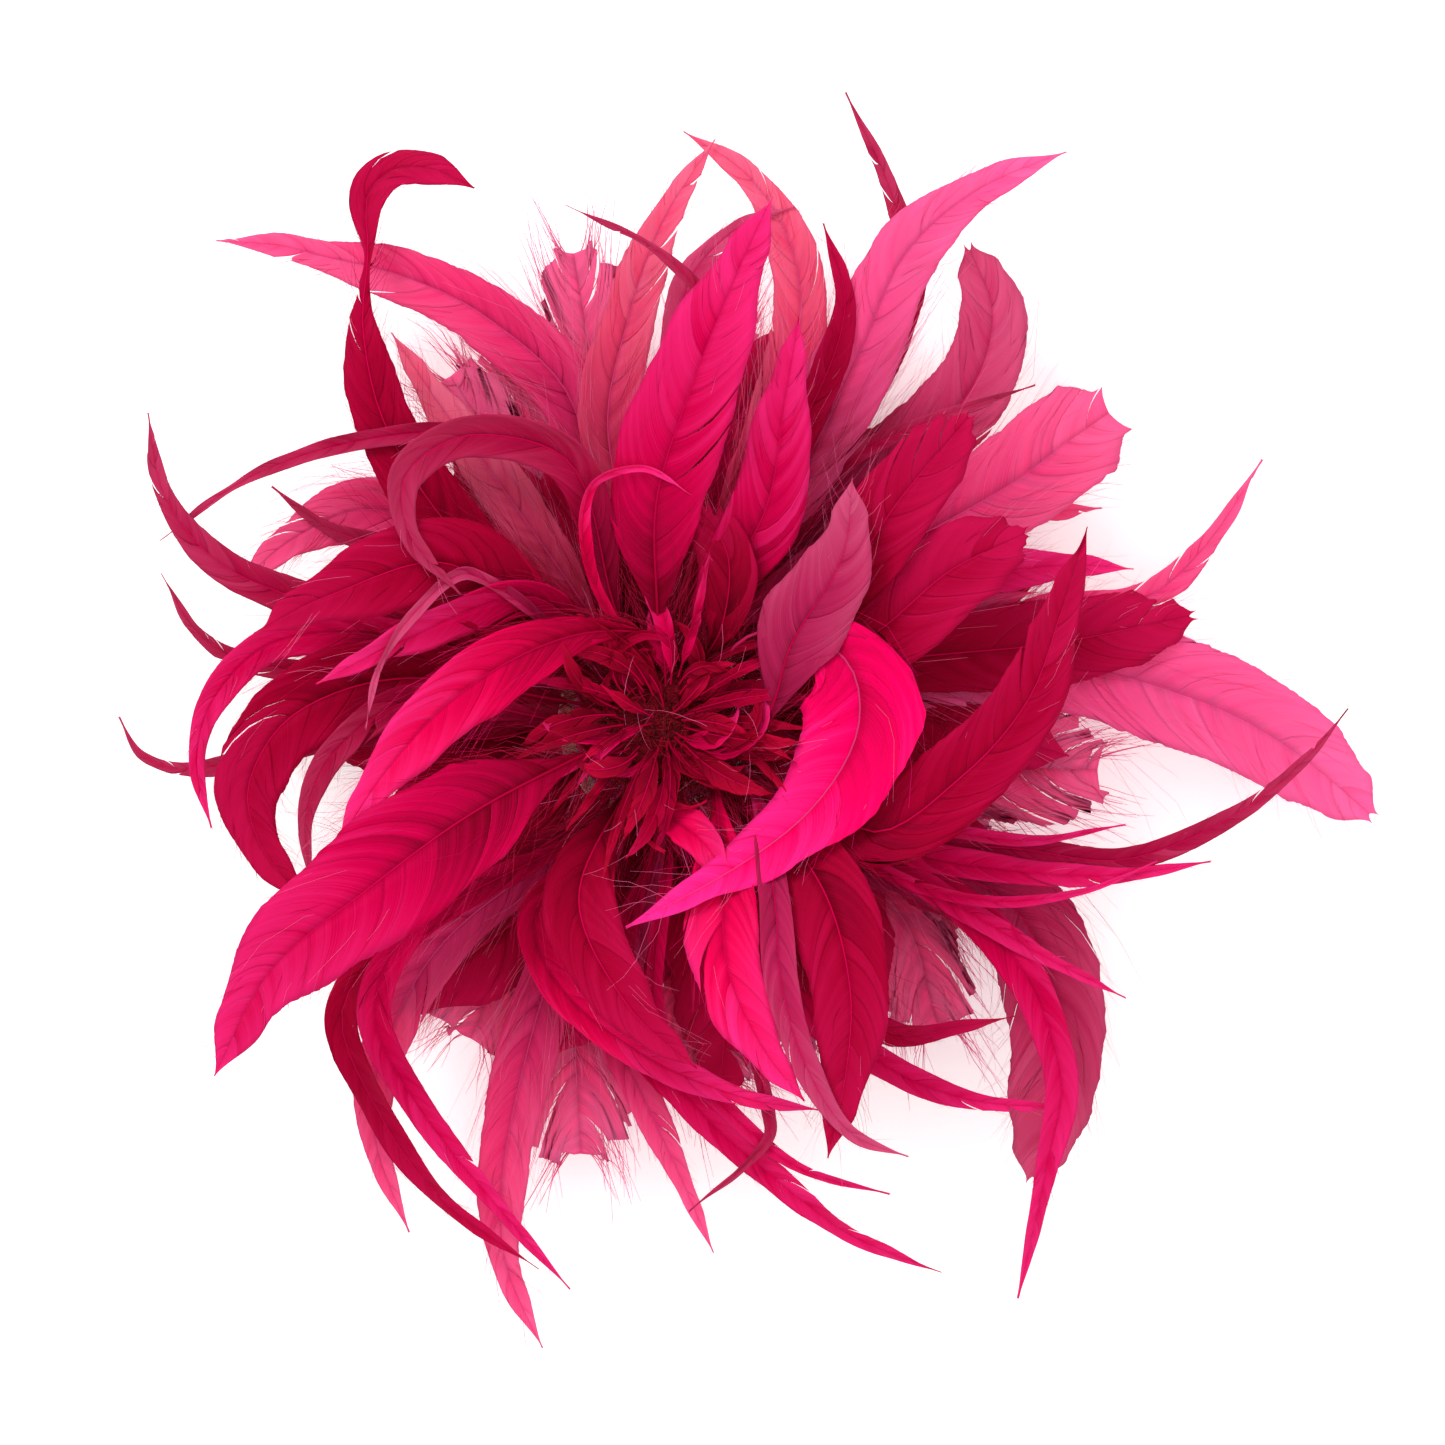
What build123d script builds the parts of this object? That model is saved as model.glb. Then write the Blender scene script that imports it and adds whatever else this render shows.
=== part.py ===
from build123d import *
import math
import os

# A round feather flower (a costume corsage or fascinator), lying on its back.
# All sizes are in millimetres. +Z points out of the flower's face, and the origin is
# the centre of the hair clip's moving jaw, on its flat outer face.

# Overall sizes
FLOWER_WIDTH = 180.0  # tip to tip, across the finished flower
DRAWN_WIDTH = 180.0  # the width that the feather plan below is drawn at
# Each tier of feathers: how steeply it rises from the eye, and how much it drops again
# towards its far end, per mm squared
TIERS = {"down": (0.1, 0.0009), "outer": (0.2, 0.0011), "middle": (0.55, 0.0022), "inner": (1.15, 0.0042)}
LIFT_REACH = 60.0  # distance from the eye over which a feather's rise levels off

# Feathers
VANE_THICKNESS = 0.3
LAYER_CLEARANCE = 0.45  # height between one layer of feathers and the next
CROSSING_CLEARANCE = 0.4  # feathers nearer than this in plan lie in different layers
QUILL_HALF_WIDTH = 0.55
TIP_HALF_WIDTH = 0.25
STATIONS = (0.0, 0.12, 0.24, 0.36, 0.48, 0.6, 0.72, 0.84, 0.93, 1.0)
# How wide each kind of feather is along its length: (share of length, share of full width)
PROFILES = {
    "point": [(0, 0), (0.16, 0.4), (0.35, 0.86), (0.5, 1), (0.7, 0.82), (0.88, 0.4), (1, 0)],
    "round": [(0, 0), (0.16, 0.36), (0.4, 0.82), (0.66, 1), (0.86, 0.86), (0.95, 0.55), (1, 0.1)],
    "blunt": [(0, 0), (0.16, 0.3), (0.45, 0.7), (0.75, 0.98), (0.93, 1), (1, 0.5)],
    "early": [(0, 0), (0.2, 0.35), (0.3, 0.85), (0.4, 1), (0.54, 0.78), (0.7, 0.5), (0.86, 0.22), (1, 0)],
    "flare": [(0, 0), (0.2, 0.9), (0.35, 1), (0.55, 0.8), (0.72, 0.1), (0.84, 0.6), (0.92, 0.5), (1, 0)],
}

# Backing, from the wearer's side outwards
FELT_RADIUS = 25.0
FELT_THICKNESS = 1.5
BUCKRAM_RADIUS = 20.0
BUCKRAM_THICKNESS = 1.0
GLUE_MARGIN = 1.0  # the glue spreads this far past the cord
GLUE_THICKNESS = 1.0
CORD_DIAMETER = 2.0
CORD_TURNS = 2
CORD_CLEARANCE = 0.1
ROLL_RADIUS = 7.9
ROLL_CLEARANCE = 0.3  # from the felt roll to the ends of the quills
ROLL_CROWN = 2.0  # height of the felt roll's rounded top
FEATHER_CLEARANCE = 0.7  # from the cord up to the lowest feather

# Hair clip
SHEET = 0.8  # thickness of the clip's and the bar's steel
JAW_LENGTH = 32.0  # from the hinge to the tip
JAW_WIDTH = 8.0
TAIL_LENGTH = 13.0
TAIL_ANGLE = 24.0
JAW_GAP = 3.4  # between the two jaws' plates
HINGE_X = 12.0
PIVOT_DIAMETER = 1.2
RUNNING_CLEARANCE = 0.04  # round a turning pin, on the radius
SIDE_CLEARANCE = 0.15  # between parts that turn past each other
EAR_CLEARANCE = 0.2  # from an ear's round end to the jaw it faces
HEAD_THICKNESS = 0.4
HEAD_OVERHANG = 0.4
TOOTH_DEPTH = 1.2
TEETH = 5
LIP_CLEARANCE = 0.05  # between the closed jaws
SPRING_WIRE = 0.6
SPRING_PITCH = 0.7
SPRING_TURNS = 4.5
SPRING_LEG = 3.8
STRAP_LENGTH = 9.0
STRAP_WIDTH = 16.0
STRAP_THICKNESS = 0.8
STRAP_X = -5.0

# Brooch pin
BAR_LENGTH = 34.0
BAR_WIDTH = 5.0
BAR_GAP = 2.0  # from the strap's edge to the bar's edge
BAR_HOLE_DIAMETER = 1.6
BAR_HOLE_SPACING = 16.0
STITCH_DIAMETER = 1.4
STITCH_HEAD = 0.4  # how far a stitch stands off the bar, and how far it spreads
PIN_DIAMETER = 0.8
PIN_DROP = 2.2  # from the bar's underside to the pin's centre line
PIN_SPAN = 28.0  # from the rivet to the middle of the catch
PIN_POINT = 3.0  # length of the ground point, all of it past the catch
RIVET_DIAMETER = 1.0
PIN_EYE_DIAMETER = 2.6
PIN_EYE_WIDTH = 1.0
LUG_RADIUS = 1.5
CATCH_LENGTH = 2.4
CATCH_BORE = 1.5
ROTOR_WALL = 0.7
CATCH_WALL = 0.6
CATCH_LIP = 0.4  # end plates that keep the catch's rotor in its housing
CATCH_CLEARANCE = 0.05
CATCH_HALF_MOUTH = 65.0  # degrees either side of straight down
ROTOR_HALF_MOUTH = 30.0
THUMB_ANGLE = 48.0
THUMB_LENGTH = 1.5
THUMB_THICKNESS = 0.7

# Heights that follow from the sizes above
TOP_OF_CLIP = 2 * SHEET + JAW_GAP
TOP_OF_FELT = TOP_OF_CLIP + FELT_THICKNESS
TOP_OF_BUCKRAM = TOP_OF_FELT + BUCKRAM_THICKNESS
TOP_OF_GLUE = TOP_OF_BUCKRAM + GLUE_THICKNESS
TOP_OF_CORD = TOP_OF_GLUE + CORD_DIAMETER
FIRST_LAYER = TOP_OF_CORD + FEATHER_CLEARANCE + VANE_THICKNESS / 2
LAYER_GAP = VANE_THICKNESS + LAYER_CLEARANCE
PIVOT_Z = SHEET + JAW_GAP / 2
PIN_Z = TOP_OF_CLIP - SHEET - PIN_DROP

# Radii and places that follow from them too
ROOT_RADIUS = ROLL_RADIUS + ROLL_CLEARANCE
CORD_START = ROLL_RADIUS + CORD_CLEARANCE + CORD_DIAMETER / 2
CORD_STEP = CORD_DIAMETER + CORD_CLEARANCE
GLUE_RADIUS = CORD_START + CORD_TURNS * CORD_STEP + CORD_DIAMETER / 2 + GLUE_MARGIN
EAR_RADIUS = JAW_GAP / 2 - EAR_CLEARANCE
OUTER_EAR_Y = JAW_WIDTH / 2 - SHEET / 2
INNER_EAR_Y = OUTER_EAR_Y - SHEET - SIDE_CLEARANCE
SPRING_RADIUS = (PIVOT_DIAMETER + JAW_GAP) / 4  # midway between the pivot and the jaws
BAR_Y = -(STRAP_WIDTH / 2 + BAR_GAP + BAR_WIDTH / 2)
RIVET_X = PIN_SPAN / 2
CATCH_X = -PIN_SPAN / 2
ROTOR_RADIUS = CATCH_BORE / 2 + ROTOR_WALL
HOUSING_BORE = ROTOR_RADIUS + CATCH_CLEARANCE
HOUSING_RADIUS = HOUSING_BORE + CATCH_WALL

# The plan of the feathers, from the back of the flower to the front. Each line gives the
# node, the vane's widest place across, the shape of its tip, and the places that its
# quill passes through, from root to tip. The plan's own zero is beside the eye.
EYE = (-5.0, -3.0)
# Short broad feathers lie all round the back and close the gaps between the others. Each
# has a compass angle in degrees and a length from the eye, in the order of stringing.
UNDER_WIDTH = 19.0
UNDER_START = 13.0
UNDER_BEND = 5.0  # degrees
UNDER_FEATHERS = [
    (0, 58),
    (51, 60),
    (103, 55),
    (154, 52),
    (206, 50),
    (257, 50),
    (309, 55),
    (26, 58),
    (77, 60),
    (129, 51),
    (180, 56),
    (231, 58),
    (283, 56),
    (334, 60),
]
FEATHERS = [
    ("down_plumes", 17, "point", [(12, -6), (35, -9), (57, -10)]),
    ("down_plumes", 14, "point", [(8, -16), (28, -30), (34, -47)]),
    ("down_plumes", 17, "point", [(-8, -20), (-17, -42), (-17, -65)]),
    ("down_plumes", 13, "point", [(-14, 12), (-24, 38), (-35, 45)]),
    ("down_plumes", 12, "point", [(-11, 13), (-15, 45), (-18, 64)]),
    ("outer_feather_01", 16, "round", [(10, -1), (30, 5), (52, 5), (72, -0.5), (84, -7), (95.8, -16.8)]),
    ("outer_feather_02", 6, "point", [(8, 6), (40, 12), (62, 14), (71, 21), (80.3, 34.8)]),
    ("outer_fill", 7, "point", [(6, 9), (30, 20), (46, 26), (57.5, 27.3)]),
    ("outer_feather_03", 12, "round", [(3, 12), (22, 30), (37, 42), (41.5, 54), (38, 64.5)]),
    ("outer_feather_04", 5, "point", [(0, 13), (20, 38), (30, 58), (27.5, 71), (20.3, 87)]),
    ("outer_feather_05", 9, "point", [(-3, 14), (9, 35), (14, 52), (13, 64), (7, 74), (-3, 81)]),
    ("outer_hackles_left", 8, "point", [(-14, 10), (-28, 30), (-37, 42), (-44, 52.5)]),
    ("outer_feather_06", 11, "point", [(-18, 7), (-34, 22), (-47, 27), (-58, 22.5), (-66, 15.5)]),
    ("outer_hackles_left", 4, "point", [(-20, -3), (-50, -5), (-71, -9.8), (-79, -8), (-82.7, -1.8)]),
    ("outer_hackles_bottom", 8, "point", [(-14, -17), (-36, -34), (-45, -50), (-46, -62), (-41, -76.2)]),
    ("outer_hackles_bottom", 6, "point", [(-5, -19), (-12, -45), (-8, -56), (-3, -67), (2.2, -79)]),
    (
        "outer_feather_07",
        15,
        "round",
        [(5, -15), (30, -22), (45, -30), (50.5, -44), (49.5, -58), (47, -68.5)],
    ),
    ("outer_fill", 13, "round", [(10, 3), (30, 6), (50, 8), (70, 12)]),
    ("outer_fill", 8, "point", [(8, 8), (35, 17), (52, 19), (62, 18.5)]),
    ("outer_feather_08", 15, "blunt", [(5, 11), (25, 20), (44, 30.5), (52, 36.5), (58.5, 41)]),
    ("outer_hackles_top", 3, "point", [(4, 12), (20, 33), (34, 40), (48, 44.7)]),
    ("outer_feather_09", 12, "point", [(1, 13), (14, 32), (23, 50), (29, 63), (39, 72), (52.7, 78)]),
    ("outer_hackles_top", 6, "point", [(-1, 13), (14, 38), (20.5, 55), (17.3, 68)]),
    ("outer_hackles_top", 6, "point", [(-4, 14), (-3, 40), (-2, 58), (5, 66.5), (14, 70)]),
    (
        "outer_feather_10",
        10,
        "point",
        [(-12, 12), (-18, 42), (-30, 54), (-42, 60), (-54, 63), (-60, 64.5), (-69.5, 65.2)],
    ),
    ("outer_feather_11", 9, "point", [(-7, 14), (-13, 38), (-9.5, 56), (-5, 68), (2.5, 80)]),
    ("outer_hackles_left", 4, "point", [(-18, 6), (-38, 20), (-52, 24), (-61, 30.5)]),
    ("outer_hackles_left", 4, "point", [(-20, 2), (-48, 3), (-66, 6), (-72, 10.5), (-76.7, 18.5)]),
    (
        "outer_feather_12",
        9,
        "point",
        [(-10, -18), (-20, -36), (-25, -52), (-28, -68), (-27.5, -80), (-22, -92.7)],
    ),
    (
        "middle_feather_01",
        10,
        "flare",
        [
            (-14, 9),
            (-33, 22),
            (-44, 38),
            (-47.5, 52),
            (-46.8, 63.5),
            (-47, 71),
            (-43.6, 74.8),
            (-38, 75),
            (-31, 71.8),
        ],
    ),
    ("middle_hackles_top", 2.5, "point", [(-2, 13), (4, 40), (3, 52), (-5, 62.5), (-19.5, 70)]),
    (
        "middle_hackles_top",
        3.2,
        "point",
        [(-12, 12), (-18, 33), (-34, 37.5), (-50, 36), (-64, 31), (-76.8, 22)],
    ),
    (
        "middle_feather_02",
        6,
        "point",
        [(-19, 4), (-40, 9), (-56, 14), (-68, 19.5), (-75.5, 29), (-78, 41.3)],
    ),
    (
        "middle_feather_03",
        6,
        "point",
        [(-20, 3), (-45, 9), (-60, 8), (-68.5, 0), (-70.8, -9), (-68.6, -18.8)],
    ),
    (
        "middle_feather_04",
        13,
        "point",
        [(-20, 0), (-42, 3), (-57, -2), (-63.5, -12), (-61.5, -21), (-54, -29.7)],
    ),
    ("middle_feather_05", 5, "point", [(-19, -3), (-40, 0), (-51, -7), (-55.3, -16), (-54.6, -27)]),
    (
        "middle_feather_06",
        5,
        "point",
        [(-15, -16), (-42, -33), (-50.5, -44), (-46, -57), (-37, -70), (-22, -81)],
    ),
    (
        "middle_feather_07",
        5,
        "point",
        [(-13, -17), (-40, -32), (-46, -44), (-40, -57), (-29, -71), (-17.7, -84)],
    ),
    (
        "middle_feather_08",
        5,
        "point",
        [(-6, -19), (-12, -42), (0, -58), (10, -67), (21, -75.5), (35, -81.3)],
    ),
    ("middle_hackles_bottom", 3, "point", [(-4, -19), (-6, -46), (4, -58), (14, -66), (27.5, -70)]),
    ("middle_hackles_bottom", 2.5, "point", [(10, -60), (6, -66), (-2, -72.5)]),
    ("middle_feather_09", 6, "point", [(-10, -18), (-23, -30), (-20, -40), (-8, -50), (6, -56), (18, -58)]),
    ("middle_feather_10", 5, "point", [(4, -16), (14, -42), (26, -51.5), (38, -56.5), (53, -57.7)]),
    ("middle_hackles_right", 5, "point", [(6, -14), (16, -38), (27, -47), (37.5, -46), (45, -44.5)]),
    (
        "middle_feather_11",
        6,
        "point",
        [(7, -12), (30, -24), (44, -36), (51, -53), (49, -66), (44.8, -85.6)],
    ),
    ("middle_hackles_right", 4, "point", [(9, -9), (24, -21), (38, -30), (49, -36.5), (60.7, -42.3)]),
    (
        "middle_hackles_right",
        4,
        "point",
        [(10, -7), (28, -19), (45, -21), (60, -22.5), (76, -16), (86, -8), (92.3, -0.5)],
    ),
    ("middle_hackles_right", 4.5, "point", [(10, -6), (28, -20.5), (44, -24), (58, -24.8), (72.8, -22.7)]),
    ("middle_hackles_right", 2, "point", [(26, -24), (40, -28.3), (54, -27), (65, -22.5)]),
    ("middle_hackles_right", 2.5, "point", [(30, -17), (46, -19.8), (60.5, -17.5)]),
    ("inner_feather_01", 14, "round", [(8, 2), (24, 9), (35, 18), (46, 23.5)]),
    ("inner_feather_02", 12, "point", [(9, -6), (24, -18.5), (37, -10.5), (46, 0), (50.5, 12), (54.5, 25)]),
    ("inner_fill", 12, "round", [(18, 14), (28, 28), (38, 40)]),
    ("inner_feather_03", 14, "point", [(-19, 6), (-35, 19), (-52, 14.5), (-63, 9)]),
    ("inner_fill", 7, "point", [(-16, 9), (-24, 14.5), (-40, 9), (-54, 2)]),
    ("inner_fill", 2, "point", [(-32, 17.5), (-40, 12), (-45, 4), (-46.8, -4.5)]),
    (
        "inner_feather_04",
        7,
        "point",
        [(-12, 13), (-18, 33), (-32, 37), (-41, 31.5), (-40.5, 23), (-33, 14.2)],
    ),
    ("inner_feather_05", 11, "point", [(0, 12), (9, 26), (12, 42), (14, 54)]),
    ("inner_fill", 9, "round", [(3, 10), (4, 20), (0, 27)]),
    ("inner_feather_06", 15, "point", [(-6, 13), (-6, 28), (-1, 44), (5, 59), (10.5, 71)]),
    ("inner_fill", 2, "point", [(-16, 20), (-15, 30), (-8, 32.5), (-1, 28.5)]),
    ("inner_feather_07", 11, "point", [(-6, 9), (-18, 9), (-32, 2), (-43, -9), (-51, -21)]),
    ("inner_feather_08", 18, "point", [(-17, -8), (-32, -16), (-47, -27), (-60, -38), (-68.2, -53.3)]),
    ("inner_feather_09", 11, "point", [(-10, -12), (-17, -28), (-10, -43), (0, -52)]),
    ("inner_feather_10", 13, "point", [(6, -12), (17, -26), (21, -40), (20.5, -52), (17.8, -64.8)]),
    ("inner_feather_11", 11, "point", [(2, -11), (3, -24), (4, -38), (9, -49), (15, -56.5)]),
    (
        "inner_fill",
        5,
        "point",
        [(8, -14), (10.5, -28), (11.5, -40), (15, -51.5), (21, -60.5), (29.8, -64.2)],
    ),
    ("inner_fill", 6, "point", [(-9, -13), (0, -19.5), (5, -27)]),
    ("inner_feather_12", 21, "early", [(7, 9), (15, 9.5), (21.5, 4), (22, -5), (16, -15), (6, -23), (-11, -32.3)]),
    ("inner_feather_13", 13, "point", [(9, -3), (13, 8), (20, 20), (21.4, 31.4)]),
]


def smooth_line(points, steps=14):
    """Points close together on a smooth line through the given ones."""
    slopes = []
    for i, point in enumerate(points):
        before, after = points[max(i - 1, 0)], points[min(i + 1, len(points) - 1)]
        span = math.dist(before, point) + math.dist(point, after)
        slopes.append(tuple((a - b) / span for a, b in zip(after, before)))
    line = []
    for p, q, leaving, arriving in zip(points, points[1:], slopes, slopes[1:]):
        gap = math.dist(p, q)
        for step in range(steps):
            t = step / steps
            wp = 2 * t**3 - 3 * t**2 + 1
            wq = 1 - wp
            wl = gap * (t**3 - 2 * t**2 + t)
            wa = gap * (t**3 - t**2)
            corners = zip(p, q, leaving, arriving)
            line.append(tuple(wp * a + wq * b + wl * c + wa * d for a, b, c, d in corners))
    line.append(points[-1])
    return line


def along(line, share):
    """The place on a line at a share of its length, and its heading there."""
    lengths = [math.dist(p, q) for p, q in zip(line, line[1:])]
    target = share * sum(lengths)
    for p, q, length in zip(line, line[1:], lengths):
        if target <= length or q is line[-1]:
            f = target / length
            place = (p[0] + f * (q[0] - p[0]), p[1] + f * (q[1] - p[1]))
            return place, ((q[0] - p[0]) / length, (q[1] - p[1]) / length)
        target -= length


def half_width(share, width, tip):
    """Half of a vane's width at a share of its length."""
    keys = PROFILES[tip]
    for (s0, w0), (s1, w1) in zip(keys, keys[1:]):
        if share <= s1:
            f = (share - s0) / (s1 - s0)
            wide = w0 + (w1 - w0) * f * f * (3 - 2 * f)
            break
    narrow = QUILL_HALF_WIDTH + (TIP_HALF_WIDTH - QUILL_HALF_WIDTH) * share
    return max(narrow, wide * width / 2)


def plan_line(points):
    """A feather's line seen from the front, from the ring that its quill ends on."""
    scale = FLOWER_WIDTH / DRAWN_WIDTH
    placed = [((x - EYE[0]) * scale, (y - EYE[1]) * scale) for x, y in points]
    out = math.hypot(*placed[0])
    root = (placed[0][0] * ROOT_RADIUS / out, placed[0][1] * ROOT_RADIUS / out)
    return smooth_line([root, *placed])


def footprint(line, width, tip):
    """Discs that cover a feather's plan: (x, y, radius)."""
    shares = [i / 24 for i in range(25)]
    return [(*along(line, s)[0], half_width(s, width, tip)) for s in shares]


def crossing(a, b):
    """Whether two footprints meet in plan."""
    return any(
        math.dist(p[:2], q[:2]) < p[2] + q[2] + CROSSING_CLEARANCE for p in a for q in b
    )


def layer_numbers(prints):
    """Each feather lies one layer in front of the front-most feather that it crosses."""
    layers = []
    for i, mine in enumerate(prints):
        below = [layers[j] for j in range(i) if crossing(mine, prints[j])]
        layers.append(1 + max(below, default=-1))
    return layers


def height(place, tier, layer):
    """How high a tier's layer of feathers is above a place in the plan."""
    lift, sag = TIERS[tier]
    out = math.hypot(*place) - ROOT_RADIUS
    return FIRST_LAYER + layer * LAYER_GAP + lift * out / (1 + abs(out) / LIFT_REACH) - sag * out**2


def flat_face(*corners):
    """A flat face with the given corners."""
    return Face(Wire.make_polygon(corners, close=True))


def feather(line, width, tip, tier, layer):
    """One feather as a thin blade of flat facets, with a lens-shaped section across its quill."""
    sections = []
    for share in STATIONS:
        (x, y), (hx, hy) = along(line, share)
        half = half_width(share, width, tip)
        left = (x - hy * half, y + hx * half)
        right = (x + hy * half, y - hx * half)
        middle = height((x, y), tier, layer)
        front = (x, y, middle + VANE_THICKNESS / 2)
        back = (x, y, middle - VANE_THICKNESS / 2)
        edges = [(*side, height(side, tier, layer)) for side in (left, right)]
        sections.append([edges[0], front, edges[1], back])
    faces = [flat_face(*sections[0]), flat_face(*sections[-1])]
    for near, far in zip(sections, sections[1:]):
        # Each facet's long side runs from an edge to the quill, alike in front and behind
        for edge in (0, 2):
            for quill in (1, 3):
                faces.append(flat_face(near[edge], near[quill], far[quill]))
                faces.append(flat_face(near[edge], far[quill], far[edge]))
    return Solid(Shell(faces))


def under_feather(angle, length):
    """The plan of one short broad feather at the back, which bends a little as it goes."""
    points = []
    for out, turn in ((UNDER_START, 0), (length / 2, UNDER_BEND), (length, -UNDER_BEND)):
        way = math.radians(angle + turn)
        points.append((EYE[0] + out * math.cos(way), EYE[1] + out * math.sin(way)))
    return ("outer_fill", UNDER_WIDTH, "point", points)


def feathers():
    """Every feather's solid, grouped by node, and the height of the highest root."""
    plan = [under_feather(angle, length) for angle, length in UNDER_FEATHERS] + FEATHERS
    plan.sort(key=lambda entry: list(TIERS).index(entry[0].split("_")[0]))
    lines = [plan_line(points) for _, _, _, points in plan]
    prints = [footprint(line, f[1], f[2]) for line, f in zip(lines, plan)]
    layers = layer_numbers(prints)
    nodes = {}
    for (node, width, tip, _), line, layer in zip(plan, lines, layers):
        tier = node.split("_")[0]
        nodes.setdefault(node, []).append(feather(line, width, tip, tier, layer))
    return nodes, FIRST_LAYER + max(layers) * LAYER_GAP


def disc(radius, low, high):
    """A flat round plate between two heights."""
    return Pos(0, 0, low) * extrude(Circle(radius), high - low)


def rod(radius, y_low, y_high, x=0.0, z=0.0):
    """A round bar along Y."""
    return Pos(x, y_low, z) * Rot(-90, 0, 0) * extrude(Circle(radius), y_high - y_low)


def block(x, y, z):
    """A box from its lowest and highest corner along each axis."""
    low, size = (x[0], y[0], z[0]), (x[1] - x[0], y[1] - y[0], z[1] - z[0])
    return Pos(*low) * Box(*size, align=(Align.MIN, Align.MIN, Align.MIN))


def felt_backing():
    return disc(FELT_RADIUS, TOP_OF_CLIP, TOP_OF_FELT)


def buckram_base():
    return disc(BUCKRAM_RADIUS, TOP_OF_FELT, TOP_OF_BUCKRAM)


def glue_pad():
    return disc(GLUE_RADIUS, TOP_OF_BUCKRAM, TOP_OF_GLUE)


def felt_roll(top):
    """The rolled felt plug that the quills are wound round, rounded above the highest root."""
    body = disc(ROLL_RADIUS, TOP_OF_GLUE, top + VANE_THICKNESS + ROLL_CROWN)
    return fillet(body.edges().group_by(Axis.Z)[-1], ROLL_CROWN)


def stringing_cord():
    """The cord that the feather fringe is strung on: a flat spiral of half turns."""
    z = TOP_OF_GLUE + CORD_DIAMETER / 2
    arcs = []
    x_start = CORD_START
    for half_turn in range(2 * CORD_TURNS):
        side = 1 if half_turn % 2 == 0 else -1
        x_end = -side * (abs(x_start) + CORD_STEP / 2)
        middle = (x_start + x_end) / 2
        radius = abs(x_start - x_end) / 2
        arcs.append(ThreePointArc((x_start, 0, z), (middle, side * radius, z), (x_end, 0, z)))
        x_start = x_end
    path = Wire(arcs)
    section = Plane(path @ 0, z_dir=path % 0) * Circle(CORD_DIAMETER / 2)
    return sweep(section, path)


def ears(y, plate_z, bore):
    """Two ears that reach from a plate to the pivot, with a hole for it."""
    low, high = sorted((plate_z, PIVOT_Z))
    made = Part()
    for side in (-1, 1):
        span = (side * y - SHEET / 2, side * y + SHEET / 2)
        made += block((HINGE_X - EAR_RADIUS, HINGE_X + EAR_RADIUS), span, (low, high))
        made += rod(EAR_RADIUS, *span, HINGE_X, PIVOT_Z)
    return made - rod(bore / 2, -JAW_WIDTH, JAW_WIDTH, HINGE_X, PIVOT_Z)


def clip_fixed_jaw():
    """The jaw that is strapped to the felt."""
    x = (HINGE_X - JAW_LENGTH, HINGE_X + TAIL_LENGTH)
    plate = block(x, (-JAW_WIDTH / 2, JAW_WIDTH / 2), (SHEET + JAW_GAP, TOP_OF_CLIP))
    plate = fillet(plate.edges().filter_by(Axis.Z), JAW_WIDTH / 4)
    return plate + ears(INNER_EAR_Y, SHEET + JAW_GAP, PIVOT_DIAMETER)


def clip_moving_jaw():
    """The jaw that opens: a flat plate with a toothed lip, ears and a bent thumb tail."""
    half = JAW_WIDTH / 2
    tip = HINGE_X - JAW_LENGTH
    bend = HINGE_X + EAR_RADIUS
    plate = block((tip, bend), (-half, half), (0, SHEET))
    lip_top = SHEET + JAW_GAP - LIP_CLEARANCE
    lip = block((tip, tip + SHEET), (-half, half), (0, lip_top))
    pitch = JAW_WIDTH / TEETH
    for i in range(TEETH - 1):
        y = -half + (i + 1) * pitch
        gap = (y - pitch / 4, y + pitch / 4)
        lip -= block((tip, tip + SHEET), gap, (lip_top - TOOTH_DEPTH, lip_top))
    tail = block((0, TAIL_LENGTH - EAR_RADIUS), (-half, half), (0, SHEET))
    tail = fillet(tail.edges().filter_by(Axis.Z).group_by(Axis.X)[-1], JAW_WIDTH / 4)
    tail = Pos(bend, 0, 0) * Rot(0, TAIL_ANGLE, 0) * tail
    knee = rod(SHEET, -half, half, bend, 0) & block((bend - SHEET, bend + SHEET), (-half, half), (0, SHEET))
    return plate + lip + knee + tail + ears(OUTER_EAR_Y, SHEET, PIVOT_DIAMETER + 2 * RUNNING_CLEARANCE)


def headed_pin(radius, half_length, x, y, z):
    """A rivet along Y with a flat head at each end."""
    pin = rod(radius, y - half_length, y + half_length, x, z)
    for side in (-1, 1):
        ends = sorted((y + side * half_length, y + side * (half_length + HEAD_THICKNESS)))
        pin += rod(radius + HEAD_OVERHANG, *ends, x, z)
    return pin


def clip_pivot_pin():
    return headed_pin(PIVOT_DIAMETER / 2, JAW_WIDTH / 2 + SIDE_CLEARANCE, HINGE_X, 0, PIVOT_Z)


def clip_spring():
    """A torsion spring round the pivot, with both legs lying along the tails."""
    length = SPRING_PITCH * SPRING_TURNS
    path = Helix(SPRING_PITCH, length, SPRING_RADIUS)
    coil = sweep(Plane(path @ 0, z_dir=path % 0) * Circle(SPRING_WIRE / 2), path)
    for end, heading in ((path @ 0, -(path % 0)), (path @ 1, path % 1)):
        coil += extrude(Plane(end, z_dir=heading) * Circle(SPRING_WIRE / 2), SPRING_LEG)
    return Pos(HINGE_X, length / 2, PIVOT_Z) * Rot(90, 0, 0) * Rot(0, 0, 90) * coil


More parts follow.
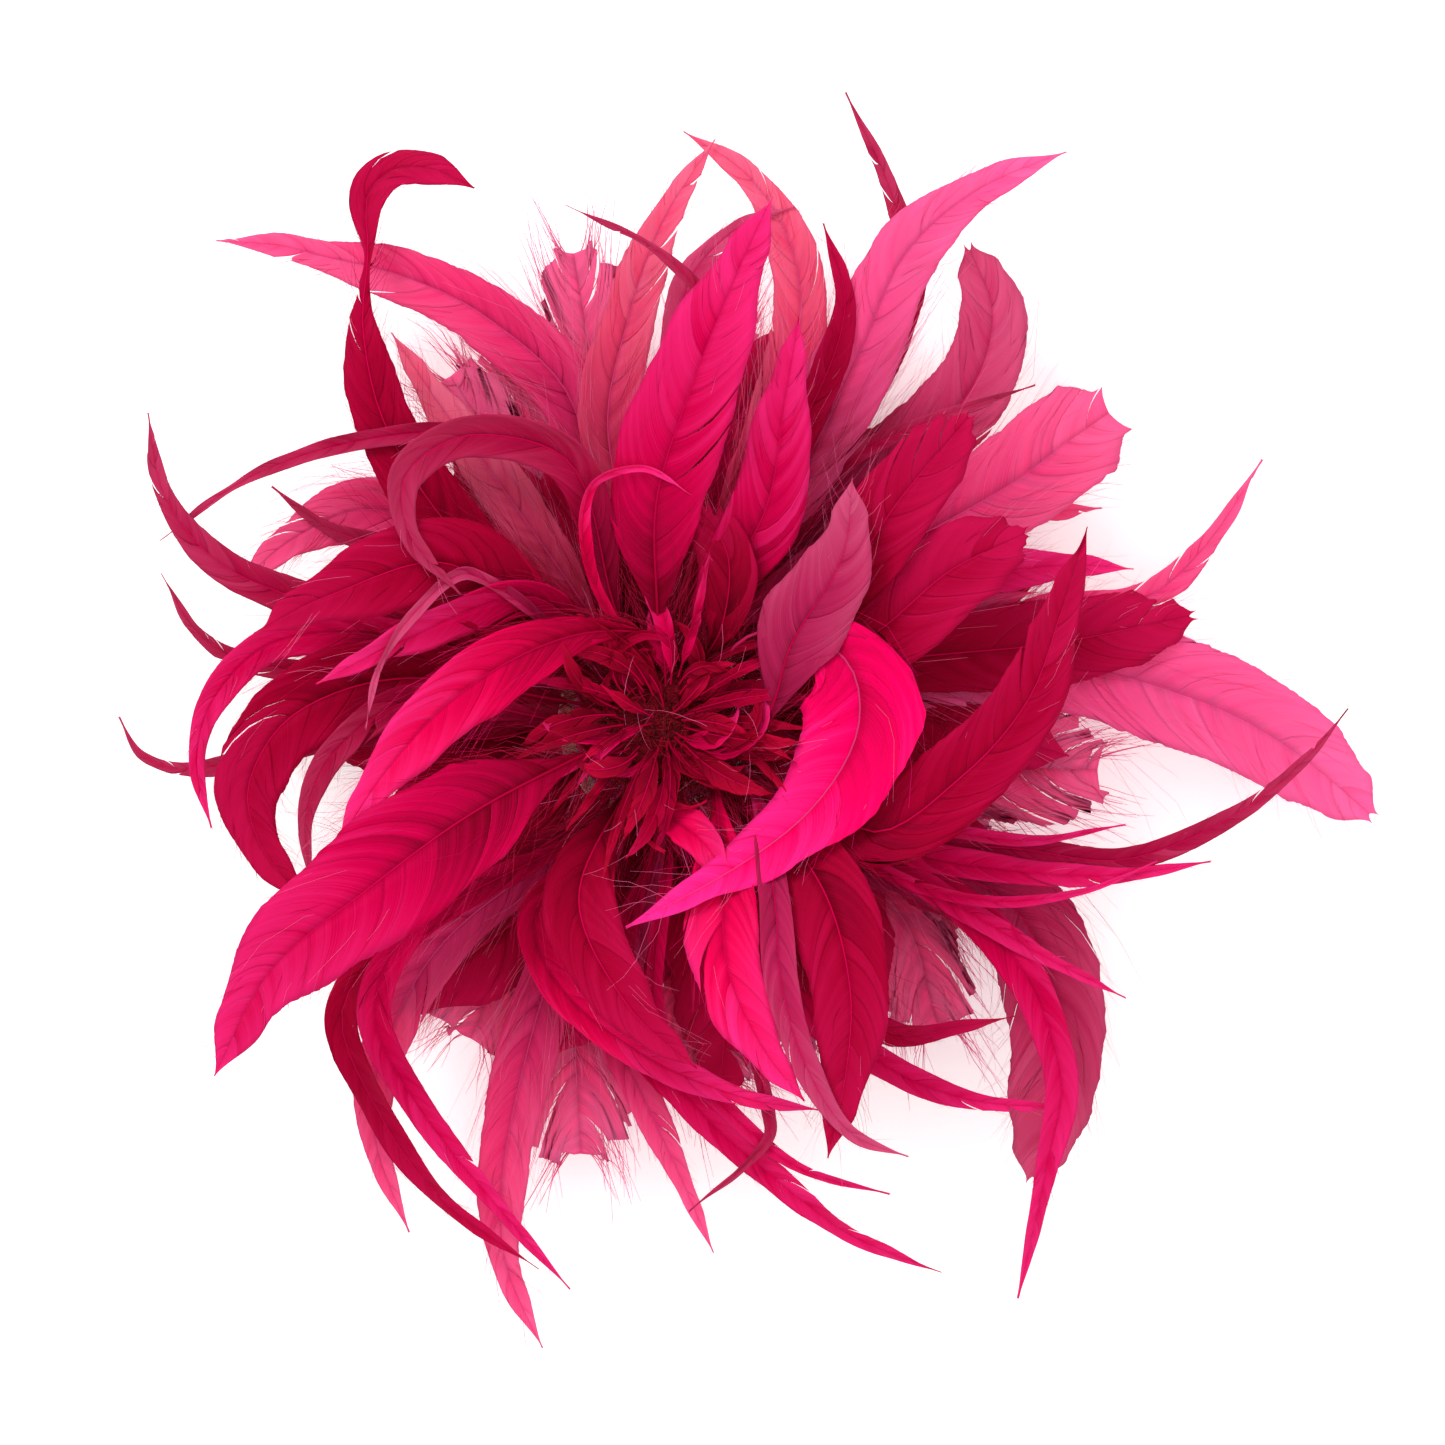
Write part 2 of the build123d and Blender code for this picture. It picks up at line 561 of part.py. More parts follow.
def clip_strap():
    """A felt strip over the fixed jaw, glued down on the felt at both sides."""
    x = (STRAP_X - STRAP_LENGTH / 2, STRAP_X + STRAP_LENGTH / 2)
    jaw = JAW_WIDTH / 2 + SIDE_CLEARANCE
    under = SHEET + JAW_GAP
    strap = block(x, (-jaw - STRAP_THICKNESS, jaw + STRAP_THICKNESS), (under - STRAP_THICKNESS, under))
    for side in (-1, 1):
        y = sorted((side * jaw, side * STRAP_WIDTH / 2))
        strap += block(x, y, (TOP_OF_CLIP - STRAP_THICKNESS, TOP_OF_CLIP))
    return strap


def wedge(half_angle, x_low, x_high):
    """A prism along X that opens straight down from the catch's middle."""
    reach = 4 * HOUSING_RADIUS
    angle = math.radians(half_angle)
    side = reach * math.sin(angle)
    drop = reach * math.cos(angle)
    corners = [(0, 0), (side, -drop), (side, -reach), (-side, -reach), (-side, -drop)]
    face = Plane.YZ * make_face(Polyline(*corners, close=True))
    return Pos(x_low, BAR_Y, PIN_Z) * extrude(face, x_high - x_low)


def tube_along_x(radius, bore, x_low, x_high):
    """A tube along X round the pin's place in the catch."""
    ring = Plane.YZ * (Circle(radius) - Circle(bore))
    return Pos(x_low, BAR_Y, PIN_Z) * extrude(ring, x_high - x_low)


def pin_bar():
    """The sewn-on bar, with two lugs for the pin's rivet and the catch's housing."""
    under = TOP_OF_CLIP - SHEET
    half = BAR_LENGTH / 2
    bar = block((-half, half), (BAR_Y - BAR_WIDTH / 2, BAR_Y + BAR_WIDTH / 2), (under, TOP_OF_CLIP))
    bar = fillet(bar.edges().filter_by(Axis.Z), BAR_WIDTH / 3)
    lug_y = PIN_EYE_WIDTH / 2 + SIDE_CLEARANCE + SHEET / 2
    for side in (-1, 1):
        y = (BAR_Y + side * lug_y - SHEET / 2, BAR_Y + side * lug_y + SHEET / 2)
        bar += block((RIVET_X - LUG_RADIUS, RIVET_X + LUG_RADIUS), y, (PIN_Z, under))
        bar += rod(LUG_RADIUS, *y, RIVET_X, PIN_Z)
        hole = Pos(side * BAR_HOLE_SPACING / 2, BAR_Y, under) * extrude(Circle(BAR_HOLE_DIAMETER / 2), SHEET)
        bar -= hole
    bar -= rod(RIVET_DIAMETER / 2, BAR_Y - BAR_WIDTH, BAR_Y + BAR_WIDTH, RIVET_X, PIN_Z)
    inner = CATCH_LENGTH / 2 + CATCH_CLEARANCE
    x = (CATCH_X - inner - CATCH_LIP, CATCH_X + inner + CATCH_LIP)
    housing = tube_along_x(HOUSING_RADIUS, HOUSING_BORE, *x)
    for lip in ((x[0], x[0] + CATCH_LIP), (x[1] - CATCH_LIP, x[1])):
        housing += tube_along_x(HOUSING_RADIUS, CATCH_BORE / 2, *lip)
    housing -= wedge(CATCH_HALF_MOUTH, *x)
    neck = block(x, (BAR_Y - HOUSING_BORE, BAR_Y + HOUSING_BORE), (PIN_Z, under))
    core = Plane.YZ * Circle(HOUSING_RADIUS - CATCH_WALL / 2)
    neck -= Pos(x[0], BAR_Y, PIN_Z) * extrude(core, x[1] - x[0])
    return bar + housing + neck


def pin_rivet():
    half = PIN_EYE_WIDTH / 2 + SIDE_CLEARANCE + SHEET
    return headed_pin(RIVET_DIAMETER / 2, half, RIVET_X, BAR_Y, PIN_Z)


def pin_stem():
    """The pin: an eye on the rivet, a straight wire and a ground point."""
    eye = rod(PIN_EYE_DIAMETER / 2, BAR_Y - PIN_EYE_WIDTH / 2, BAR_Y + PIN_EYE_WIDTH / 2, RIVET_X, PIN_Z)
    shoulder = CATCH_X - CATCH_LENGTH
    wire = Plane((RIVET_X - RIVET_DIAMETER, BAR_Y, PIN_Z), z_dir=(-1, 0, 0)) * Circle(PIN_DIAMETER / 2)
    stem = eye + extrude(wire, RIVET_X - RIVET_DIAMETER - shoulder)
    point = Plane((shoulder, BAR_Y, PIN_Z), z_dir=(-1, 0, 0)) * Cone(
        PIN_DIAMETER / 2, 0.05, PIN_POINT, align=(Align.CENTER, Align.CENTER, Align.MIN)
    )
    bore = rod(RIVET_DIAMETER / 2 + RUNNING_CLEARANCE, BAR_Y - BAR_WIDTH, BAR_Y + BAR_WIDTH, RIVET_X, PIN_Z)
    return stem + point - bore


def catch_rotor():
    """The turning collar that shuts the catch, with its thumb piece."""
    x = (CATCH_X - CATCH_LENGTH / 2, CATCH_X + CATCH_LENGTH / 2)
    collar = tube_along_x(ROTOR_RADIUS, CATCH_BORE / 2, *x) - wedge(ROTOR_HALF_MOUTH, *x)
    inner = ROTOR_RADIUS - ROTOR_WALL / 2
    reach = ROTOR_RADIUS + THUMB_LENGTH
    thumb = block(x, (-THUMB_THICKNESS / 2, THUMB_THICKNESS / 2), (-reach, -inner))
    return collar + Pos(0, BAR_Y, PIN_Z) * Rot(THUMB_ANGLE, 0, 0) * thumb


def bar_stitches():
    """Thread through the bar's two holes, with the stitch standing proud of the bar."""
    under = TOP_OF_CLIP - SHEET
    stitches = []
    for side in (-1, 1):
        shank = extrude(Circle(STITCH_DIAMETER / 2), SHEET)
        head = Pos(0, 0, -STITCH_HEAD) * extrude(Circle(STITCH_DIAMETER / 2 + STITCH_HEAD), STITCH_HEAD)
        stitches.append(Pos(side * BAR_HOLE_SPACING / 2, BAR_Y, under) * (shank + head))
    return stitches


def save(shape, name):
    """Writes one node, as one solid or as a group of separate ones."""
    shapes = shape if isinstance(shape, list) else [shape]
    solids = [solid for s in shapes for solid in s.solids()]
    export_step(solids[0] if len(solids) == 1 else Compound(children=solids), f"parts/{name}.step")
    print(name, len(solids), "solids,", round(sum(s.volume for s in solids), 1), "mm3")


os.makedirs("parts", exist_ok=True)
feather_nodes, highest_root = feathers()
for node, solids in feather_nodes.items():
    save(solids, node)
save(felt_backing(), "felt_backing")
save(buckram_base(), "buckram_base")
save(glue_pad(), "glue_pad")
save(stringing_cord(), "stringing_cord")
save(felt_roll(highest_root), "felt_roll")
save(clip_fixed_jaw(), "clip_fixed_jaw")
save(clip_moving_jaw(), "clip_moving_jaw")
save(clip_pivot_pin(), "clip_pivot_pin")
save(clip_spring(), "clip_spring")
save(clip_strap(), "clip_strap")
save(pin_bar(), "pin_bar")
save(pin_rivet(), "pin_rivet")
save(pin_stem(), "pin_stem")
save(catch_rotor(), "catch_rotor")
save(bar_stitches(), "bar_stitches")
print("feather nodes", len(feather_nodes), "highest root", highest_root)
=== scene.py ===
# %% [markdown]
# # A feather flower for a costume
# This file dresses the plain model of a feather flower: a puff of dyed feathers wound round a
# felt roll, with a hair clip and a brooch pin on its back. The plain model says where each
# piece is and how it moves. Here each feather gets its quill, barbs and down, each soft
# piece its fibres, and each metal piece its plating.

# %% Load the plain model
import math
import bpy
import numpy as np
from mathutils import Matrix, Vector


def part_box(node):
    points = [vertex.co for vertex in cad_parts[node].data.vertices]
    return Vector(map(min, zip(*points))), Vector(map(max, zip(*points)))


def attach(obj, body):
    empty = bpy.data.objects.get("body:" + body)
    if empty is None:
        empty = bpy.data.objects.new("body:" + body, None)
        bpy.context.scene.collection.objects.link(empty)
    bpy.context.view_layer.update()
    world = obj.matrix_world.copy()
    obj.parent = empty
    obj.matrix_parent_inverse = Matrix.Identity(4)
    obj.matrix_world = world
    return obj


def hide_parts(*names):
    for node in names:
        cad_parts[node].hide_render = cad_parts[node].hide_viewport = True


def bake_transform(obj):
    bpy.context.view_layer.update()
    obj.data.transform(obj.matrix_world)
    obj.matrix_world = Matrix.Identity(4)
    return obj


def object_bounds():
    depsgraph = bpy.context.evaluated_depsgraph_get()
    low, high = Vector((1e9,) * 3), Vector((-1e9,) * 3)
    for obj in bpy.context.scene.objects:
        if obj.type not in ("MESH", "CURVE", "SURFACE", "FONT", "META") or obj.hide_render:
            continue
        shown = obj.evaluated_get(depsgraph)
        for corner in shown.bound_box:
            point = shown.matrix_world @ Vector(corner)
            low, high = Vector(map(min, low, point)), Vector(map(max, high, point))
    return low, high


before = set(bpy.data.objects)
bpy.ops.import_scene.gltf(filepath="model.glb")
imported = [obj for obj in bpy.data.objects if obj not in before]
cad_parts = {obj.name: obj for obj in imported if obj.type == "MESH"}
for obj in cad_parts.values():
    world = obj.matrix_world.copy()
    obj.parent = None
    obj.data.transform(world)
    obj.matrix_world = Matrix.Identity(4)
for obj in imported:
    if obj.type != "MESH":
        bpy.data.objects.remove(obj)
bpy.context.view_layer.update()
MM = 0.001
print("pieces in the plain model:", len(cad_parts))

# %% [markdown]
# ## How the feathers lie
# Every feather is drawn in plan, seen from the front of the flower: where its quill passes,
# how wide its vane is, how its tip ends and which dye it took; the crimson dye is also
# painted shade for feathers that lie under others. The list runs from the back of the
# flower to the front. The plan's zero is beside the eye, so the eye is taken off each
# place. Lengths are in millimetres here, as a maker measures them, and turn to metres
# only when a mesh is made.

# %% The plan of the feathers
EYE = (-5.0, -3.0)
FEATHERS = [
    ("down_plumes", 17, "point", "down", [(12, -6), (35, -9), (57, -10)]),
    ("down_plumes", 14, "point", "down", [(8, -16), (28, -30), (34, -47)]),
    ("down_plumes", 17, "point", "down", [(-8, -20), (-17, -42), (-17, -65)]),
    ("down_plumes", 13, "point", "down", [(-14, 12), (-24, 38), (-35, 45)]),
    ("down_plumes", 12, "point", "down", [(-11, 13), (-15, 45), (-18, 64)]),
    (
        "outer_feather_01",
        16,
        "round",
        "pale",
        [(10, -1), (30, 5), (52, 5), (72, -0.5), (84, -7), (95.8, -16.8)],
    ),
    ("outer_feather_02", 6, "point", "pink", [(8, 6), (40, 12), (62, 14), (71, 21), (80.3, 34.8)]),
    ("outer_fill", 7, "point", "pink", [(6, 9), (30, 20), (46, 26), (57.5, 27.3)]),
    ("outer_feather_03", 12, "round", "dusk", [(3, 12), (22, 30), (37, 42), (41.5, 54), (38, 64.5)]),
    ("outer_feather_04", 5, "point", "rose", [(0, 13), (20, 38), (30, 58), (27.5, 71), (20.3, 87)]),
    ("outer_feather_05", 9, "point", "salmon", [(-3, 14), (9, 35), (14, 52), (13, 64), (7, 74), (-3, 81)]),
    ("outer_hackles_left", 8, "point", "salmon", [(-14, 10), (-28, 30), (-37, 42), (-44, 52.5)]),
    ("outer_feather_06", 11, "point", "pink", [(-18, 7), (-34, 22), (-47, 27), (-58, 22.5), (-66, 15.5)]),
    (
        "outer_hackles_left",
        4,
        "point",
        "rose",
        [(-20, -3), (-50, -5), (-71, -9.8), (-79, -8), (-82.7, -1.8)],
    ),
    (
        "outer_hackles_bottom",
        8,
        "point",
        "pink",
        [(-14, -17), (-36, -34), (-45, -50), (-46, -62), (-41, -76.2)],
    ),
    ("outer_hackles_bottom", 6, "point", "pink", [(-5, -19), (-12, -45), (-8, -56), (-3, -67), (2.2, -79)]),
    (
        "outer_feather_07",
        15,
        "round",
        "dusk",
        [(5, -15), (30, -22), (45, -30), (50.5, -44), (49.5, -58), (47, -68.5)],
    ),
    ("outer_fill", 13, "round", "crimson", [(10, 3), (30, 6), (50, 8), (70, 12)]),
    ("outer_fill", 8, "point", "magenta", [(8, 8), (35, 17), (52, 19), (62, 18.5)]),
    ("outer_feather_08", 15, "blunt", "pink", [(5, 11), (25, 20), (44, 30.5), (52, 36.5), (58.5, 41)]),
    ("outer_hackles_top", 3, "point", "rose", [(4, 12), (20, 33), (34, 40), (48, 44.7)]),
    (
        "outer_feather_09",
        12,
        "point",
        "pale",
        [(1, 13), (14, 32), (23, 50), (29, 63), (39, 72), (52.7, 78)],
    ),
    ("outer_hackles_top", 6, "point", "crimson", [(-1, 13), (14, 38), (20.5, 55), (17.3, 68)]),
    ("outer_hackles_top", 6, "point", "dusk", [(-4, 14), (-3, 40), (-2, 58), (5, 66.5), (14, 70)]),
    (
        "outer_feather_10",
        10,
        "point",
        "pink",
        [(-12, 12), (-18, 42), (-30, 54), (-42, 60), (-54, 63), (-60, 64.5), (-69.5, 65.2)],
    ),
    ("outer_feather_11", 9, "point", "salmon", [(-7, 14), (-13, 38), (-9.5, 56), (-5, 68), (2.5, 80)]),
    ("outer_hackles_left", 4, "point", "rose", [(-18, 6), (-38, 20), (-52, 24), (-61, 30.5)]),
    ("outer_hackles_left", 4, "point", "rose", [(-20, 2), (-48, 3), (-66, 6), (-72, 10.5), (-76.7, 18.5)]),
    (
        "outer_feather_12",
        9,
        "point",
        "pink",
        [(-10, -18), (-20, -36), (-25, -52), (-28, -68), (-27.5, -80), (-22, -92.7)],
    ),
    (
        "middle_feather_01",
        10,
        "flare",
        "crimson",
        [
            (-14, 9),
            (-33, 22),
            (-44, 38),
            (-47.5, 52),
            (-46.8, 63.5),
            (-47, 71),
            (-43.6, 74.8),
            (-38, 75),
            (-31, 71.8),
        ],
    ),
    ("middle_hackles_top", 2.5, "point", "rose", [(-2, 13), (4, 40), (3, 52), (-5, 62.5), (-19.5, 70)]),
    (
        "middle_hackles_top",
        3.2,
        "point",
        "rose",
        [(-12, 12), (-18, 33), (-34, 37.5), (-50, 36), (-64, 31), (-76.8, 22)],
    ),
    (
        "middle_feather_02",
        6,
        "point",
        "rose",
        [(-19, 4), (-40, 9), (-56, 14), (-68, 19.5), (-75.5, 29), (-78, 41.3)],
    ),
    (
        "middle_feather_03",
        6,
        "point",
        "magenta",
        [(-20, 3), (-45, 9), (-60, 8), (-68.5, 0), (-70.8, -9), (-68.6, -18.8)],
    ),
    (
        "middle_feather_04",
        13,
        "point",
        "crimson",
        [(-20, 0), (-42, 3), (-57, -2), (-63.5, -12), (-61.5, -21), (-54, -29.7)],
    ),
    ("middle_feather_05", 5, "point", "rose", [(-19, -3), (-40, 0), (-51, -7), (-55.3, -16), (-54.6, -27)]),
    (
        "middle_feather_06",
        5,
        "point",
        "crimson",
        [(-15, -16), (-42, -33), (-50.5, -44), (-46, -57), (-37, -70), (-22, -81)],
    ),
    (
        "middle_feather_07",
        5,
        "point",
        "magenta",
        [(-13, -17), (-40, -32), (-46, -44), (-40, -57), (-29, -71), (-17.7, -84)],
    ),
    (
        "middle_feather_08",
        5,
        "point",
        "magenta",
        [(-6, -19), (-12, -42), (0, -58), (10, -67), (21, -75.5), (35, -81.3)],
    ),
    (
        "middle_hackles_bottom",
        3,
        "point",
        "magenta",
        [(-4, -19), (-6, -46), (4, -58), (14, -66), (27.5, -70)],
    ),
    ("middle_hackles_bottom", 2.5, "point", "rose", [(10, -60), (6, -66), (-2, -72.5)]),
    (
        "middle_feather_09",
        6,
        "point",
        "bright",
        [(-10, -18), (-23, -30), (-20, -40), (-8, -50), (6, -56), (18, -58)],
    ),
    (
        "middle_feather_10",
        5,
        "point",
        "magenta",
        [(4, -16), (14, -42), (26, -51.5), (38, -56.5), (53, -57.7)],
    ),
    (
        "middle_hackles_right",
        5,
        "point",
        "crimson",
        [(6, -14), (16, -38), (27, -47), (37.5, -46), (45, -44.5)],
    ),
    (
        "middle_feather_11",
        6,
        "point",
        "magenta",
        [(7, -12), (30, -24), (44, -36), (51, -53), (49, -66), (44.8, -85.6)],
    ),
    (
        "middle_hackles_right",
        4,
        "point",
        "magenta",
        [(9, -9), (24, -21), (38, -30), (49, -36.5), (60.7, -42.3)],
    ),
    (
        "middle_hackles_right",
        4,
        "point",
        "rose",
        [(10, -7), (28, -19), (45, -21), (60, -22.5), (76, -16), (86, -8), (92.3, -0.5)],
    ),
    (
        "middle_hackles_right",
        4.5,
        "point",
        "magenta",
        [(10, -6), (28, -20.5), (44, -24), (58, -24.8), (72.8, -22.7)],
    ),
    ("middle_hackles_right", 2, "point", "magenta", [(26, -24), (40, -28.3), (54, -27), (65, -22.5)]),
    ("middle_hackles_right", 2.5, "point", "magenta", [(30, -17), (46, -19.8), (60.5, -17.5)]),
    ("inner_feather_01", 14, "round", "crimson", [(8, 2), (24, 9), (35, 18), (46, 23.5)]),
    (
        "inner_feather_02",
        12,
        "point",
        "crimson",
        [(9, -6), (24, -18.5), (37, -10.5), (46, 0), (50.5, 12), (54.5, 25)],
    ),
    ("inner_fill", 12, "round", "crimson", [(18, 14), (28, 28), (38, 40)]),
    ("inner_feather_03", 14, "point", "crimson", [(-19, 6), (-35, 19), (-52, 14.5), (-63, 9)]),
    ("inner_fill", 7, "point", "magenta", [(-16, 9), (-24, 14.5), (-40, 9), (-54, 2)]),
    ("inner_fill", 2, "point", "dusk", [(-32, 17.5), (-40, 12), (-45, 4), (-46.8, -4.5)]),
    (
        "inner_feather_04",
        7,
        "point",
        "rose",
        [(-12, 13), (-18, 33), (-32, 37), (-41, 31.5), (-40.5, 23), (-33, 14.2)],
    ),
    ("inner_feather_05", 11, "point", "magenta", [(0, 12), (9, 26), (12, 42), (14, 54)]),
    ("inner_fill", 9, "round", "crimson", [(3, 10), (4, 20), (0, 27)]),
    ("inner_feather_06", 15, "point", "magenta", [(-6, 13), (-6, 28), (-1, 44), (5, 59), (10.5, 71)]),
    ("inner_fill", 2, "point", "bright", [(-16, 20), (-15, 30), (-8, 32.5), (-1, 28.5)]),
    ("inner_feather_07", 11, "point", "bright", [(-6, 9), (-18, 9), (-32, 2), (-43, -9), (-51, -21)]),
    (
        "inner_feather_08",
        18,
        "point",
        "magenta",
        [(-17, -8), (-32, -16), (-47, -27), (-60, -38), (-68.2, -53.3)],
    ),
    ("inner_feather_09", 11, "point", "crimson", [(-10, -12), (-17, -28), (-10, -43), (0, -52)]),
    (
        "inner_feather_10",
        13,
        "point",
        "crimson",
        [(6, -12), (17, -26), (21, -40), (20.5, -52), (17.8, -64.8)],
    ),
    ("inner_feather_11", 11, "point", "bright", [(2, -11), (3, -24), (4, -38), (9, -49), (15, -56.5)]),
    (
        "inner_fill",
        5,
        "point",
        "dusk",
        [(8, -14), (10.5, -28), (11.5, -40), (15, -51.5), (21, -60.5), (29.8, -64.2)],
    ),
    ("inner_fill", 6, "point", "bright", [(-9, -13), (0, -19.5), (5, -27)]),
    (
        "inner_feather_12",
        21,
        "early",
        "vivid",
        [(7, 9), (15, 9.5), (21.5, 4), (22, -5), (16, -15), (6, -23), (-11, -32.3)],
    ),
    ("inner_feather_13", 13, "point", "dusk", [(9, -3), (13, 8), (20, 20), (21.4, 31.4)]),
]
# Short broad feathers lie all round the back and close the gaps between the others. Each
# has a compass angle in degrees and a length from the eye, in the order of stringing.
UNDER_WIDTH = 19.0
UNDER_START = 13.0
UNDER_BEND = 5.0  # degrees
UNDER_FEATHERS = [
    (0, 58),
    (51, 60),
    (103, 55),
    (154, 52),
    (206, 50),
    (257, 50),
    (309, 55),
    (26, 58),
    (77, 60),
    (129, 51),
    (180, 56),
    (231, 58),
    (283, 56),
    (334, 60),
]


def under_feather(angle, length):
    """The plan of one short broad feather at the back, which bends a little as it goes."""
    points = []
    for out, turn in ((UNDER_START, 0), (length / 2, UNDER_BEND), (length, -UNDER_BEND)):
        way = math.radians(angle + turn)
        points.append((EYE[0] + out * math.cos(way), EYE[1] + out * math.sin(way)))
    # These feathers take the crimson vane as painted shade, since they lie under all the others.
    return ("outer_fill", UNDER_WIDTH, "point", "crimson", points)


TIERS = {"down": (0.1, 0.0009), "outer": (0.2, 0.0011), "middle": (0.55, 0.0022), "inner": (1.15, 0.0042)}
FEATHERS = [under_feather(angle, length) for angle, length in UNDER_FEATHERS] + FEATHERS
FEATHERS.sort(key=lambda entry: list(TIERS).index(entry[0].split("_")[0]))
print("feathers in the plan:", len(FEATHERS))

# %% [markdown]
# ## The heights of the feathers
# A feather can't pass through another, so each one lies a layer in front of those that it
# crosses. Each tier also has its own rise from the eye and its own sag towards the far end.
# This is the same rule that the plain model was made by, so each feather here lies where
# its plain blade is.

# %% Sizes that the feathers share with the plain model
LIFT_REACH = 60.0
ROOT_RADIUS = 8.2
FIRST_LAYER = 11.35
LAYER_GAP = 0.75
CROSSING_CLEARANCE = 0.4
PROFILES = {
    "point": [(0, 0), (0.16, 0.4), (0.35, 0.86), (0.5, 1), (0.7, 0.82), (0.88, 0.4), (1, 0)],
    "round": [(0, 0), (0.16, 0.36), (0.4, 0.82), (0.66, 1), (0.86, 0.86), (0.95, 0.55), (1, 0.1)],
    "blunt": [(0, 0), (0.16, 0.3), (0.45, 0.7), (0.75, 0.98), (0.93, 1), (1, 0.5)],
    "early": [(0, 0), (0.2, 0.35), (0.3, 0.85), (0.4, 1), (0.54, 0.78), (0.7, 0.5), (0.86, 0.22), (1, 0)],
    "flare": [(0, 0), (0.2, 0.9), (0.35, 1), (0.55, 0.8), (0.72, 0.1), (0.84, 0.6), (0.92, 0.5), (1, 0)],
}


def smooth_line(points, steps=14):
    """Points close together on a smooth line through the given ones."""
    points = np.array(points, float)
    before = points[[0, *range(len(points) - 1)]]
    after = points[[*range(1, len(points)), -1]]
    span = np.linalg.norm(points - before, axis=1) + np.linalg.norm(after - points, axis=1)
    slope = (after - before) / span[:, None]
    t = np.arange(steps)[:, None] / steps
    line = []
    for p, q, leaving, arriving in zip(points, points[1:], slope, slope[1:]):
        gap = np.linalg.norm(q - p)
        ease = 2 * t**3 - 3 * t**2 + 1
        line.append(
            ease * p + (1 - ease) * q + gap * (t**3 - 2 * t**2 + t) * leaving + gap * (t**3 - t**2) * arriving
        )
    return np.vstack([*line, points[-1:]])


def distances(line):
    """How far along the line each of its points is."""
    return np.concatenate([[0], np.cumsum(np.linalg.norm(np.diff(line, axis=0), axis=1))])


def share_of_width(share, tip):
    """How much of its full width a vane has at a share of its length."""
    keys = np.array(PROFILES[tip], float)
    share = np.clip(share, 0, 1)
    i = np.clip(np.searchsorted(keys[:, 0], share, side="left"), 1, len(keys) - 1)
    f = (share - keys[i - 1, 0]) / (keys[i, 0] - keys[i - 1, 0])
    return keys[i - 1, 1] + (keys[i, 1] - keys[i - 1, 1]) * f * f * (3 - 2 * f)


def plan_line(points):
    """A feather's line in plan, from the ring that its quill ends on."""
    placed = np.array(points, float) - EYE
    root = placed[0] * ROOT_RADIUS / np.linalg.norm(placed[0])
    return smooth_line([root, *placed])


def footprint(line, width, tip):
    """Discs that cover a feather's plan: x, y and radius."""
    shares = np.linspace(0, 1, 25)
    far = distances(line)
    spots = [np.interp(shares * far[-1], far, line[:, k]) for k in (0, 1)]
    narrow = 0.55 - 0.3 * shares
    return np.column_stack([*spots, np.maximum(narrow, share_of_width(shares, tip) * width / 2)])


def layer_numbers(prints):
    """Each feather lies one layer in front of the front-most feather that it crosses."""
    layers = []
    for i, mine in enumerate(prints):
        below = [-1]
        for j, other in enumerate(prints[:i]):
            apart = np.linalg.norm(mine[:, None, :2] - other[None, :, :2], axis=2)
            if (apart < mine[:, None, 2] + other[None, :, 2] + CROSSING_CLEARANCE).any():
                below.append(layers[j])
        layers.append(1 + max(below))
    return layers


def height(x, y, tier, layer):
    """How high a tier's layer of feathers is above a place in the plan."""
    lift, sag = TIERS[tier]
    out = np.hypot(x, y) - ROOT_RADIUS
    return FIRST_LAYER + layer * LAYER_GAP + lift * out / (1 + np.abs(out) / LIFT_REACH) - sag * out**2


plan_lines = [plan_line(f[4]) for f in FEATHERS]
LAYERS = layer_numbers([footprint(line, f[1], f[2]) for line, f in zip(plan_lines, FEATHERS)])
print("layers of feathers:", max(LAYERS) + 1)

# %% [markdown]
# ## Camera
# The flower is looked at straight down on its face, from far enough away that the front
# feathers aren't enlarged. The lens follows from the distance and the width of the view.

# %% Camera
VIEW_WIDTH = 0.2064
VIEW_DISTANCE = 2.0
VIEW_CENTRE = (0.0082, -0.0002)
SENSOR = 36.0


def add_camera():
    """A camera far above the flower, with +Y up in the picture."""
    camera_data = bpy.data.cameras.new("camera")
    camera_data.sensor_width = SENSOR
    camera_data.lens = SENSOR * VIEW_DISTANCE / VIEW_WIDTH
    camera_data.clip_end = 20
    camera = bpy.data.objects.new("camera", camera_data)
    camera.location = (*VIEW_CENTRE, VIEW_DISTANCE)
    bpy.context.scene.collection.objects.link(camera)
    bpy.context.scene.camera = camera
    print("camera lens in mm:", round(camera_data.lens))


add_camera()

# %% [markdown]
# ## Helpers for materials
# A material here is a small graph of nodes. One function adds any node with its settings
# and its links, and one turns a hex colour, which is sRGB, to the linear numbers that
# Blender wants.


# %% Helpers for materials
def colour(hex_code):
    """An sRGB hex colour as linear RGBA."""
    parts = [int(hex_code[i : i + 2], 16) / 255 for i in (1, 3, 5)]
    return tuple(c / 12.92 if c <= 0.04045 else ((c + 0.055) / 1.055) ** 2.4 for c in parts) + (1.0,)


def add_node(material, kind, inputs=None, **settings):
    """Adds a node: settings are its properties, inputs are values or sockets to link from."""
    tree = material.node_tree
    node = tree.nodes.new(kind)
    for name, value in settings.items():
        setattr(node, name, value)
    for name, value in (inputs or {}).items():
        if isinstance(value, bpy.types.NodeSocket):
            tree.links.new(value, node.inputs[name])
        else:
            node.inputs[name].default_value = value
    return node


def new_material(name):
    """An empty material with an output node."""
    material = bpy.data.materials.new(name)
    material.use_nodes = True
    material.node_tree.nodes.clear()
    return material


def finish_material(material, shader):
    add_node(material, "ShaderNodeOutputMaterial", {"Surface": shader})
    return material
